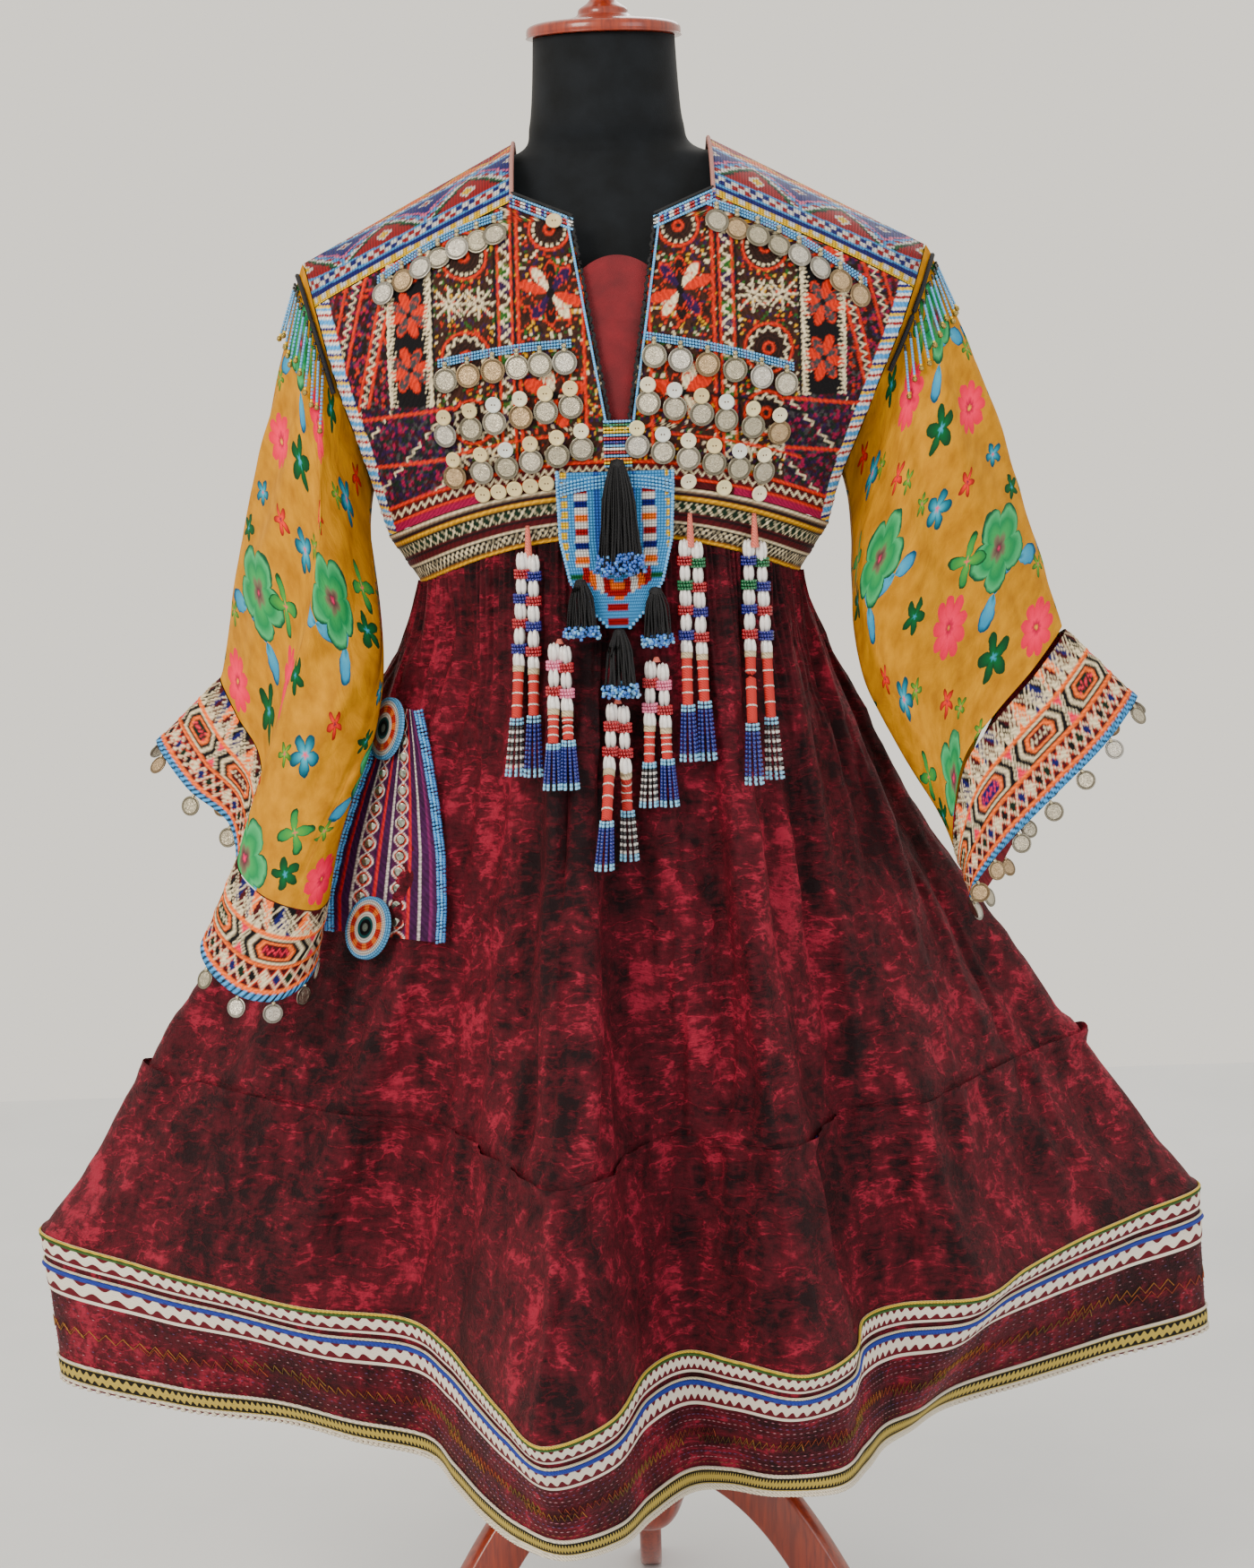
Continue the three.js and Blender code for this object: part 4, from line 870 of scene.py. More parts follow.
def tierPoints(columns):
    # the lower tier: down the skirt, down its stiff trimmed band, then turned in at the hem
    skirtRows, bandRows, tierTop = 40, 18, 0.743
    turn = np.arange(columns)[:, None] / columns
    fall = np.linspace(tierTop, 1, skirtRows, endpoint=False)[None, :] + 0 * turn
    turns = turn + 0 * fall
    seam = 0.9 * np.exp(-(fall - tierTop) / 0.006)
    calm = 1 - bump((fall - 0.86) / 0.14)
    waves = (skirtWave(turns, fall) + tierWave(turns, fall)) * (0.15 + 0.85 * calm)
    hang = bump((fall - 0.745) / 0.02) * (0.25 + 0.75 * calm)
    upper = offSkirt(turns, fall, waves + velvetRelief(turns, fall, hang) + seam)
    low = np.linspace(0, 1, bandRows)[None, :] + 0 * turn
    near = offBand(turn + 0 * low, low, np.zeros(low.shape))
    low = np.array([[0.995, 0.93]]) + 0 * turn
    turnedIn = offBand(turn + 0 * low, low, np.full(low.shape, -1.8))
    return np.concatenate([upper, near, turnedIn], axis=1)


def makeSkirtTier():
    # the lower tier, gathered on to the upper skirt
    piece = clothMesh("skirtTier", tierPoints(570), velvetCloth, (3.4, 0.3), True)
    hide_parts("skirt_tier")


makeSkirtUpper()
makeSkirtTier()

print("stage: patterns")

threads = {
    "brown": "#45291f", "darkBrown": "#2a1915", "rust": "#cc3a12", "cream": "#dccfb0",
    "black": "#141016", "purple": "#381c50", "magenta": "#9c0e4e", "green": "#2f6a2c",
    "yellow": "#d9a818", "grey": "#504d4f", "maroon": "#560a18", "pink": "#e03058",
    "orange": "#f07c34", "navy": "#1c1f68", "darkGreen": "#143322",
    "plum": "#4b1e4f",
}
glass = {
    "sky": "#5aa8e0", "white": "#e8e6e2", "red": "#a81420", "navy": "#141c80",
    "yellow": "#f0c800", "green": "#0f6b3e", "pink": "#e67a9e", "orange": "#f07c1e",
    "black": "#101014",
}


def shade(code):
    # deep dyes: the linear colour ^ 1.25
    return np.array(toLinear(code)[:3]) ** 1.25


def ground(name, u, v, seed):
    # one thread, darker and lighter by a quarter, by coarse and fine value noise
    vary = 0.25
    level = 1 + vary * unevenness(u, v, 3.1, 3.1, seed) + vary * unevenness(u, v, 17, 17, seed + 1)
    return shade(threads[name]) * np.maximum(level, 0.2)[..., None]


def plain(code, like):
    # one colour over a grid of that shape
    return np.broadcast_to(shade(code), (*like.shape, 3)).copy()


def paint(tint, mask, code):
    # lerp to a colour where the mask is 1
    tint[...] = lerp(tint, shade(code), np.clip(mask, 0, 1)[..., None])


def sew(tint, mask, name):
    # paint in a thread's colour
    paint(tint, mask, threads[name])


def beadOver(tint, mask, name):
    # paint in a glass bead's colour
    paint(tint, mask, glass[name])


def stroke(distance, width, soft=0.7):
    # 1 within half the width of a line, falling to 0 over the soft edge
    return np.clip((width / 2 - np.abs(distance)) / soft + 0.5, 0, 1)


def couch(tint, rise, along, rows, lift, mask=True):
    # raised cords across a direction: place, thread and width of each
    for place, name, width in rows:
        cord = mask * stroke(along - place, width)
        sew(tint, cord, name)
        rise += lift * cord


def centred(along, period):
    # distance from the middle of each repeat: (a/p - floor(a/p) - 0.5) p
    return (along / period - np.floor(along / period) - 0.5) * period


def zigzag(along, period, rise):
    # triangle wave from -rise to rise
    share = along / period - np.floor(along / period)
    return rise * (4 * np.abs(share - 0.5) - 1)


def speckle(tint, u, v, cell, seed, names, share):
    # short stitches: a random thread colour in some cells of a grid
    random = np.random.default_rng(seed)
    pick = random.random((256, 256))
    kind = random.integers(0, len(names), (256, 256))
    i, j = np.floor(u / cell).astype(int) % 256, np.floor(v / cell).astype(int) % 256
    for place, name in enumerate(names):
        hit = (pick[i, j] < share) & (kind[i, j] == place)
        sew(tint, hit * 0.85, name)


def wheel(tint, rise, x, z, cx, cz, radius, scallops):
    # rings round a centre, a dotted or scalloped cream ring, and rust outside it
    dx, dz = x - cx, z - cz
    r, angle = np.hypot(dx, dz), np.arctan2(dz, dx)
    sew(tint, r < radius, "darkBrown")
    for share in (0.35, 0.5, 0.64):
        sew(tint, stroke(r - radius * share, 0.9), "brown")
    sew(tint, stroke(r - radius * 0.22, 2.2), "rust")
    edge = radius * (0.8 + 0.08 * np.cos(scallops * angle))
    ring = stroke(r - edge, 1.9) if scallops < 16 else (
        stroke(r - radius * 0.82, 2.0) * (np.cos(scallops * angle) > 0))
    sew(tint, ring, "cream")
    sew(tint, stroke(r - radius * 1.02, 2.0), "rust")
    rise += 0.8 * stroke(r - radius * 1.02, 2.0) + 0.5 * ring + 0.4 * (r < radius * 0.3)


def starOf(tint, rise, x, z, cx, cz, radius):
    # eight cream arms
    dx, dz = x - cx, z - cz
    r, angle = np.hypot(dx, dz), np.arctan2(dz, dx)
    arm = stroke(r * np.abs(np.sin(4 * angle)) / 4, 1.5, 0.5) * (r < radius) * (r > 1.5)
    sew(tint, arm, "cream")
    rise += 0.7 * arm


def blossom(tint, rise, x, z, cx, cz, radius, count, names):
    # petals alternate in colour; each is outlined by a couched cord of rust
    dx, dz = x - cx, z - cz
    r, angle = np.hypot(dx, dz), np.arctan2(dz, dx) + 0.3
    edge = radius * (0.42 + 0.58 * np.abs(np.cos(count * angle / 2)) ** 0.7)
    inside = r < edge
    sector = np.floor(count * angle / fullTurn + 0.5).astype(int) % len(names)
    for place, name in enumerate(names):
        sew(tint, inside * (sector == place), name)
    cord = stroke(r - edge, 2.0)
    sew(tint, cord, "rust")
    inner = stroke(r - edge * 0.62, 1.2) * (r > 3)
    sew(tint, inner, "rust")
    sew(tint, r < radius * 0.14, "black")
    rise += 0.9 * cord + 0.5 * inner


groundStitches = ("green", "yellow", "rust", "purple", "darkBrown", "cream")


def bodicePattern(x, z, over, side):
    # x from the middle, z height, over height above the waist seam, side the share to the side
    tint = ground("brown", x, z, 11)
    rise = np.zeros(x.shape)
    speckle(tint, x + 300, z, 2.0, 21, groundStitches, 0.34)
    wheel(tint, rise, x, z, 49, 1235, 15, 18)
    blossom(tint, rise, x, z, 49, 1187, 24, 10, ("brown", "rust", "cream", "darkBrown", "purple"))
    blossom(tint, rise, x, z, 49, 1110, 24, 8, ("brown", "rust", "cream"))
    couch(tint, rise, x, [(25, "rust", 2.4), (74, "rust", 2.4)], 0.8)
    column = (x > 76) & (x < 91)
    blocks = np.floor(z / 11).astype(int) % 3
    for place, code in enumerate(("purple", "green", "brown")):
        sew(tint, column * (blocks == place) * 0.9, code)
    steps = 83.5 + 3.0 * np.sign(zigzag(z, 11, 1)) * (np.abs(zigzag(z, 11, 1)) > 0.33)
    sew(tint, column * stroke(x - steps, 3.2), "cream")
    rise += column * 0.6 * stroke(x - steps, 3.2)
    couch(tint, rise, x, [(77, "black", 1.8), (79, "rust", 1.8), (89, "rust", 1.8),
                          (91.5, "black", 1.8)], 0.6)
    wheel(tint, rise, x, z, 115, 1217, 17, 22)
    wheel(tint, rise, x, z, 115, 1141, 18, 12)
    wheel(tint, rise, x, z, 112, 1092, 16, 12)
    for centre in (104, 127):
        starOf(tint, rise, x, z, centre, 1181, 13)
        starOf(tint, rise, x, z, centre - 4, 1066, 10)
    diamond = np.abs(x - 115.5) / 6 + np.abs(z - 1181) / 7
    sew(tint, stroke((diamond - 1) * 6, 1.8), "cream")
    sew(tint, stroke(x - 140, 2.2), "black")
    panel = (x > 141) & (x < 176)
    sew(tint, panel, "black")
    for cz in (1216, 1174, 1132):
        part, partRise = tint.copy(), np.zeros(x.shape)
        blossom(part, partRise, x, z, 158.5, cz, 17, 8, ("rust", "grey"))
        tint[panel] = part[panel]
        rise += partRise * panel
    tooth = 4 + zigzag(z, 3.4, 3.2)
    teeth = panel * ((x - 141 < tooth) | (176 - x < tooth))
    sew(tint, teeth, "cream")
    rise += 0.4 * teeth
    outer = x >= 176
    part = tint.copy()
    sew(part, outer, "darkBrown")
    speckle(part, x + 700, z, 2.4, 33, ("maroon", "magenta", "rust", "grey", "purple"), 0.6)
    tint[outer] = part[outer]
    lean = x + 0.25 * (z - 1150)
    couch(tint, rise, lean, [(182, "rust", 2.4), (190, "rust", 2.4), (206, "rust", 2.4),
                             (220, "rust", 2.0), (226, "maroon", 3.0)], 0.6, outer)
    for away in (186, 212):
        crest = outer * stroke(lean - away - zigzag(z, 7, 2.6), 2.0)
        sew(tint, crest, "cream")
        rise += 0.6 * crest
    dark = (x > 126) & (z < 1104) & (x < 200)
    paint(tint, dark, "#2c1731")
    part = tint.copy()
    speckle(part, x + 500, z, 2.6, 31, ("purple", "magenta", "darkGreen", "maroon", "grey"), 0.75)
    tint[dark] = part[dark]
    slant = centred(x + z * 0.9, 44) + zigzag(z, 6, 2.0)
    sew(tint, dark * stroke(slant, 1.6), "cream")
    for height in (1100, 1062):
        sew(tint, dark * stroke(z - height + 0.12 * x - 18, 2.6), "rust")
    for height, code, width in ((40, "rust", 2.0), (72, "black", 2.2)):
        sew(tint, (x > 40) * (x < 140) * stroke(over - height, width), code)
    foot = over < 19
    sew(tint, foot, "maroon")
    sew(tint, foot * (side > 0.55) * (over < 7), "magenta")
    sew(tint, stroke(over - 18, 2.4), "rust")
    sew(tint, stroke(over - 7, 2.0), "rust")
    crest = stroke(over - 12.5 - zigzag(x, 6.5, 2.2), 2.2)
    sew(tint, crest, "cream")
    rise += 0.8 * stroke(over - 18, 2.4) + 0.6 * crest + 0.6 * stroke(over - 7, 2.0)
    beaded = side > 0.945
    order = ("sky", "sky", "white", "red", "white", "sky", "yellow", "navy", "white")
    count = (np.floor(z / 2.2) % len(order)).astype(int)
    for place, code in enumerate(order):
        beadOver(tint, beaded * (count == place), code)
    return tint, rise


def threadMaterial():
    # embroidery: dyed cotton thread laid close, its strands showing as fine ridges
    material, tree, shader = newMaterial("couched cotton embroidery")
    where, stitchSize = clothPlace(tree), 0.009
    wave = addNode(tree, "TexWave", {"Vector": where, "Scale": 1 / stitchSize, "Distortion": 5.0,
                                     "Detail": 3.0, "Detail Scale": 2.0}, wave_type="BANDS",
                   bands_direction="DIAGONAL").outputs[1]
    grain = noise(tree, where, 1200.0, 3.0)
    level = scaled(tree, grain, 0.3, scaled(tree, wave, 0.45, 0.72))
    setInputs(tree, shader, {
        "Base Color": dyed(tree, level), "Roughness": 0.82, "Specular IOR Level": 0.2,
        "Normal": raised(tree, calc(tree, "ADD", wave, grain), 0.55, 0.0008)})
    return material


def beadMaterial():
    # rows of seed beads: each a glossy dome, (|sin u| |sin v|)^0.5 of the cloth's millimetres; the
    # colour falls with the dome, painted shade towards each bead's edge and between beads
    material, tree, shader = newMaterial("sewn glass seed beads")
    pitch = 0.0024
    parts = addNode(tree, "SeparateXYZ", {0: clothPlace(tree)})
    across, down = (calc(tree, "ABSOLUTE", calc(tree, "SINE", calc(
        tree, "MULTIPLY", parts.outputs[axis], math.pi / pitch))) for axis in (0, 1))
    dome = calc(tree, "POWER", calc(tree, "MULTIPLY", across, down), 0.5)
    setInputs(tree, shader, {
        # base colour darker where the dome is low: painted shade between the beads
        "Base Color": dyed(tree, scaled(tree, dome, 0.75, 0.3)), "Roughness": 0.5,
        "Specular IOR Level": 0.12, "Normal": raised(tree, dome, 0.9, 0.0012)})
    return material


embroidery = threadMaterial()
seedBeads = beadMaterial()

print("stage: bodice")


# height of the slit's foot, and how far across the body's pieces reach before the side seam
slitFoot, seamAcross = 1084, 0.9995


def slitEdge(height):
    # half width of the neck opening at a height, from its foot to the neck's corner
    return np.interp(height, [slitFoot, 1089, 1242, 1262], [0, 6.2, 31, 76.5])


def panelEdge(side, up):
    # share across where the shoulder panel starts, 77.2 mm from the neck's middle
    row = between(bodyRows, up)
    return (77.2 + side * (neck["middle"] - row[..., 5])) / row[..., 1]


def backNeck(across):
    # share up of the dipped back neck: 0.83 - 0.03 (1 - (a/0.34)2)
    return 0.83 - 0.03 * (1 - np.minimum(np.abs(across) / 0.34, 1) ** 2)


def makeBodiceFront():
    # each half runs from the slit's edge to the side seam
    rows = 150
    up = np.linspace(0.003, yokeUp - 0.002, rows)[None, :]
    height = bodyPoint(-1.0, 0 * up + 0.1, up)[..., 2]
    row = between(bodyRows, up)
    for side, name in ((-1, "bodiceFrontLeft"), (1, "bodiceFrontRight")):
        edge = (neck["middle"] + side * (slitEdge(height) + 0.5) - row[..., 5]) / row[..., 1]
        edge = np.where(height < slitFoot, (neck["middle"] - row[..., 5]) / row[..., 1], edge)
        share = np.linspace(0, 1, 168)[:, None]
        across = edge + (side * seamAcross - edge) * share
        ups = up + 0 * across
        flat = bodyPoint(-1.0, across, ups)
        x, z = np.abs(flat[..., 0] - neck["middle"]), flat[..., 2]
        over = z - waistSeam(-1, across)
        tint, rise = bodicePattern(x, z, over, np.abs(across))
        quilt = 0.8 * unevenness(x, z, 22, 22, 51 + side)
        points = offBody(-1.0, across, ups, rise + quilt * (1 - np.abs(across) ** 6))
        piece = clothMesh(name, points, embroidery, (0.24, 0.22), False, tint)
        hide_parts("bodice_front")


def makeBodiceBack():
    # a plain embroidered back: columns and bands on the same brown ground
    columns, rows = 190, 92
    across = np.linspace(-seamAcross, seamAcross, columns)[:, None]
    top = np.where(np.abs(across) < 0.34, backNeck(across), yokeUp - 0.002)
    up = 0.003 + (top - 0.003) * np.linspace(0, 1, rows)[None, :]
    across = across + 0 * up
    flat = bodyPoint(1.0, across, up)
    x, z = np.abs(flat[..., 0] - neck["middle"]), flat[..., 2]
    over = z - waistSeam(1, across)
    tint = ground("brown", x, z, 13)
    rise = np.zeros(x.shape)
    speckle(tint, x + 300, z, 2.4, 22, groundStitches, 0.3)
    for cz in (1200, 1130, 1062):
        wheel(tint, rise, x, z, 45, cz, 20, 14)
        starOf(tint, rise, x, z, 115, cz, 15)
    wheel(tint, rise, x, z, 0, 1165, 20, 14)
    for at, code in ((80, "rust"), (150, "rust"), (153, "black"), (84, "black")):
        sew(tint, stroke(x - at, 2.4), code)
    sew(tint, stroke(over - 18, 2.4), "rust")
    sew(tint, stroke(over - 10 - zigzag(x, 6.5, 2.2), 2.2), "cream")
    points = offBody(1.0, across, up, rise)
    piece = clothMesh("bodiceBack", points, embroidery, (0.46, 0.24), False, tint)
    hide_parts("bodice_back")


def inBeads(along, pitch):
    # the middle of the bead that a place is on
    return np.floor(along / pitch) * pitch + pitch / 2


def panelPattern(t, s):
    # t along from the neck, s up from the lower edge, in millimetres
    t, s = inBeads(t, 2.4), inBeads(s, 2.4)
    tint = plain(glass["sky"], t)
    beadOver(tint, s < 7.2, "yellow")
    beadOver(tint, (s < 7.2) & (np.floor(t / 4.8) % 2 == 0) & (s > 2.4), "white")
    beadOver(tint, (s > 7.2) & (s < 12), "navy")
    check = (s > 14.4) & (s < 24)
    beadOver(tint, check, "white")
    kind = (np.floor(t / 4.8) + np.floor(s / 4.8)) % 2 == 0
    beadOver(tint, check & kind, "red")
    beadOver(tint, check & kind & (np.floor(t / 14.4) % 2 == 0), "navy")
    # triangles standing on the checks: |t - centre| against the height left
    cell = np.abs(centred(t, 68))
    up = s - 26.4
    field = (up > 0) & (up < 42)
    side = 40 - up - cell * 1.18
    beadOver(tint, field & (side < 0), "navy")
    beadOver(tint, field & (np.abs(side + 9) < 1.6), "pink")
    for inner, code in ((-6, "sky"), (0, "white"), (4.5, "green"), (8, "black"), (10, "red")):
        beadOver(tint, field & (side > inner), code)
    beadOver(tint, field & (side > -3) & (side < 2) & (np.floor(s / 4.8) % 2 == 0), "red")
    star = cell + np.abs(up - 12)
    beadOver(tint, field & (star < 7.5), "white")
    beadOver(tint, field & (star < 4.6), "yellow")
    other = np.abs(34 - cell) + np.abs(up - 30)
    beadOver(tint, field & (other < 6.5), "white")
    beadOver(tint, field & (other < 4.2), "red")
    upper, border = s > 68.4, s > 78
    crest = s - 92 - zigzag(t, 40, 9)
    beadOver(tint, upper, "white")
    beadOver(tint, upper & kind, "red")
    beadOver(tint, upper & (s < 73), "sky")
    beadOver(tint, border, "orange")
    beadOver(tint, border & (np.abs(crest) < 3.4), "yellow")
    beadOver(tint, border & (crest > 0), "red")
    return tint


def makeShoulderPanels():
    # from the front yoke seam over the shoulder line to the back yoke seam
    for side, name in ((-1, "left"), (1, "right")):
        columns, rows = 130, 146
        along = np.linspace(0, 1, columns)[:, None]
        over = np.linspace(-1, 1, rows)[None, :]
        facing = np.where(over < 0, -1.0, 1.0) + 0 * along
        up = 1 - np.abs(over) * (1 - yokeUp) + 0 * along
        edge = panelEdge(side, up)
        across = side * (edge + (seamAcross - edge) * along)
        flat = bodyPoint(facing, across, up)
        steps = np.linalg.norm(np.diff(flat, axis=1), axis=-1)
        s = np.concatenate([np.zeros((columns, 1)), np.cumsum(steps, axis=1)], axis=1)
        t = np.linalg.norm(flat[..., :2] - flat[:1, :, :2], axis=-1)
        tint = panelPattern(t, np.minimum(s, s[:, -1:] - s))
        normals = normalsOf(flat)
        if np.mean(normals[..., 2]) < 0:
            normals = -normals
        piece = clothMesh(f"shoulderPanel{name.title()}", flat + normals * 0.4, seedBeads,
                          (float(t.max()) / 1000, float(s.max()) / 1000), False, tint,
                          [side * 120, 0, 1000])
        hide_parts(f"shoulder_panel_{name}")


def bandPattern(u, v):
    # u along and v down in millimetres: lines, a net of crosses, and zigzags
    tint = ground("maroon", u, v, 71)
    rise = np.zeros(u.shape)
    net = (v > 10) & (v < 18)
    sew(tint, net, "darkGreen")
    for way in (-1, 1):
        lines = u + way * v
        thin = stroke(centred(lines, 9), 1.2)
        sew(tint, net * thin, "cream")
    low = (v > 26) & (v < 35)
    sew(tint, low, "black")
    for way in (-1, 1):
        wave = stroke(v - 30.5 - way * zigzag(u, 11, 3.2), 1.1)
        sew(tint, low * wave, "cream")
    couch(tint, rise, v, [(1.6, "cream", 2.0), (4.4, "black", 2.4), (7.4, "yellow", 2.2),
                          (9.6, "black", 1.8), (19.6, "black", 2.2), (23, "maroon", 3.4),
                          (25.2, "cream", 1.0), (36.6, "yellow", 2.4)], 0.7)
    return tint, rise


def makeWaistband():
    # an embroidered strip all round, its pattern measured along the cloth
    columns, rows = 700, 28
    angle = np.linspace(-180, 180, columns, endpoint=False)[:, None]
    down = np.linspace(0, 1, rows)[None, :]
    angle, down = angle + 0 * down, down + 0 * angle
    flat = waistPoint(angle, down)
    around = np.linalg.norm(np.roll(flat[:, 0], -1, 0) - flat[:, 0], axis=-1)
    u = np.concatenate([[0], np.cumsum(around)[:-1]])[:, None] + 0 * down
    tint, rise = bandPattern(u, down * bandHeight)
    normals = normalsOf(flat, True)
    if np.mean(np.sum(normals[..., :2] * flat[..., :2], axis=-1)) < 0:
        normals = -normals
    points = moved(flat, normals, rise + 0.3)
    piece = clothMesh("waistband", points, embroidery, (0.95, 0.038), True, tint)
    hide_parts("waistband")


makeBodiceFront()
makeBodiceBack()
makeShoulderPanels()
makeWaistband()

print("stage: sleeves and cuffs")

printed = {"tile": (0.205, 0.19), "wobble": 0.003, "low": "#a46a00", "high": "#cc8c00"}
# One repeat of the print: kind, place across and along in metres, size, turn
printMotifs = [
    ("leaf", 0.030, 0.068, 0.026, 0.5), ("leaf", 0.060, 0.072, 0.024, 2.4),
    ("leaf", 0.170, 0.158, 0.026, 1.9), ("leaf", 0.140, 0.166, 0.022, 0.3),
    ("green", 0.045, 0.045, 0.030, 0.2), ("green", 0.152, 0.140, 0.028, 1.4),
    ("pink", 0.104, 0.058, 0.021, 0.0), ("pink", 0.030, 0.128, 0.019, 0.8),
    ("blue", 0.168, 0.052, 0.014, 0.3), ("blue", 0.088, 0.165, 0.013, 1.1),
    ("leafGreen", 0.074, 0.030, 0.018, 0.6), ("leafGreen", 0.190, 0.098, 0.017, 2.2),
    ("dark", 0.074, 0.112, 0.017, 0.6), ("red", 0.128, 0.100, 0.010, 0.5),
    ("red", 0.060, 0.168, 0.010, 0.0), ("red", 0.182, 0.020, 0.010, 0.3),
    ("dark", 0.196, 0.128, 0.013, 0.9), ("dark", 0.132, 0.020, 0.012, 0.2),
    ("lime", 0.116, 0.116, 0.008, 0.6), ("lime", 0.010, 0.090, 0.009, 0.2),
    ("lime", 0.152, 0.062, 0.008, 0.1), ("blue", 0.020, 0.176, 0.010, 0.3),
    ("lime", 0.102, 0.148, 0.008, 1.0), ("dark", 0.012, 0.020, 0.010, 0.4),
]
# petals, how deep the gaps between them are, how round they are, and the colours outwards
printKinds = {
    "green": (5, 0.34, 0.6, [(0, "#f01464"), (0.1, "#5a3038"), (0.26, "#6a6a50"),
                             (0.36, "#2f9a50"), (0.62, "#128048"), (0.86, "#3fa868"),
                             (0.97, "#0c4a30")]),
    "pink": (9, 0.34, 0.6, [(0, "#f2b01e"), (0.12, "#b00038"), (0.34, "#ff0a50"),
                            (0.9, "#e0003c")]),
    "blue": (5, 0.6, 0.7, [(0, "#ff0a50"), (0.26, "#3fa0b8"), (0.6, "#147890"),
                           (0.94, "#0a4050")]),
    "leaf": (2, 1.0, 4.0, [(0, "#0f5a70"), (0.3, "#3f9cc0"), (0.8, "#2484b0"), (0.95, "#0f4460")]),
    "leafGreen": (4, 0.8, 2.0, [(0, "#ff3a60"), (0.22, "#4f9a3a"), (0.85, "#1f7a3c"),
                                (0.95, "#0f4020")]),
    "red": (5, 0.7, 1.6, [(0, "#3a2440"), (0.28, "#f0301e"), (0.92, "#8a1410")]),
    "dark": (5, 0.6, 1.2, [(0, "#2fa0c8"), (0.26, "#0c5a2c"), (0.9, "#063a1c")]),
    "lime": (5, 0.7, 1.6, [(0, "#e0305a"), (0.3, "#6a9a2e"), (0.92, "#2a5a20")]),
}


def cottonMaterial():
    # plain-weave cotton printed in one repeat of flowers drawn with a soft wet edge:
    # each petal's edge = size ((1 - depth) + depth |cos(petals (angle + turn) / 2)|^sharpness)
    material, tree, shader = newMaterial("roller-printed yellow cotton")
    where = clothPlace(tree)
    wobble = addNode(tree, "TexNoise", {"Vector": where, "Scale": 90.0, "Detail": 3.0}).outputs[1]
    shift = vectorCalc(tree, "SUBTRACT", wobble, (0.5, 0.5, 0.5))
    shift = addNode(tree, "VectorMath", {0: shift, "Scale": printed["wobble"] * 2},
                    operation="SCALE").outputs[0]
    parts = addNode(tree, "SeparateXYZ", {0: vectorCalc(tree, "ADD", where, shift)})
    stain = noise(tree, where, 60.0, 4.0)
    colour = ramp(tree, stain, [(0.3, printed["low"]), (0.7, printed["high"])])
    for kind, cx, cy, size, turn in printMotifs:
        petals, depth, sharpness, stops = printKinds[kind]
        x, y = (calc(tree, "WRAP", calc(tree, "SUBTRACT", parts.outputs[axis], centre),
                     printed["tile"][axis] / 2, -printed["tile"][axis] / 2)
                for axis, centre in enumerate((cx, cy)))
        arm = addNode(tree, "CombineXYZ", {0: x, 1: y}).outputs[0]
        far = vectorCalc(tree, "LENGTH", arm)
        phase = scaled(tree, calc(tree, "ARCTAN2", y, x), petals / 2, turn * petals / 2)
        lobe = calc(tree, "POWER", calc(tree, "ABSOLUTE", calc(tree, "COSINE", phase)), sharpness)
        edge = scaled(tree, lobe, size * depth, size * (1 - depth) + 0.0001)
        place = calc(tree, "DIVIDE", far, edge)
        inside = calc(tree, "LESS_THAN", place, 1.0)
        mottled = calc(tree, "ADD", place, scaled(tree, stain, 0.3, -0.15))
        colour = mixColours(tree, inside, colour, ramp(tree, mottled, stops))
    crumple = noise(tree, where, 55.0, 6.0, Distortion=1.0)
    setInputs(tree, shader, {"Base Color": colour, "Roughness": 0.75, "Specular IOR Level": 0.15,
                             "Normal": raised(tree, crumple, 0.5, 0.003)})
    return material


cotton = cottonMaterial()


def sleeveWrinkle(turn, along, side):
    # soft folds down the sleeve and small crumples across it
    turns = turn * 420
    down = along * 330
    deep = 4.2 * unevenness(turns + 0.15 * down, down, 28, 120, 81 + side, 420)
    small = 1.5 * unevenness(turns + 0.4 * down, down, 15, 46, 83 + side)
    return (deep + small) * np.sin(np.pi * np.clip(along, 0, 1)) ** 0.5


def makeSleeves():
    # a full sleeve, open at the armhole and at the cuff
    columns, rows = 180, 78
    for name, (side, table) in sleeveSides.items():
        turn = np.arange(columns)[:, None] / columns + np.zeros((1, rows))
        along = np.linspace(0, 1, rows)[None, :] + 0 * turn
        points = offSleeve(side, table, turn, along, sleeveWrinkle(turn, along, side))
        piece = clothMesh(f"sleeve{name.title()}", points, cotton, (0.42, 0.34), True, None,
                          [side * 260, -30, 1000])
        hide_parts(f"sleeve_{name}")


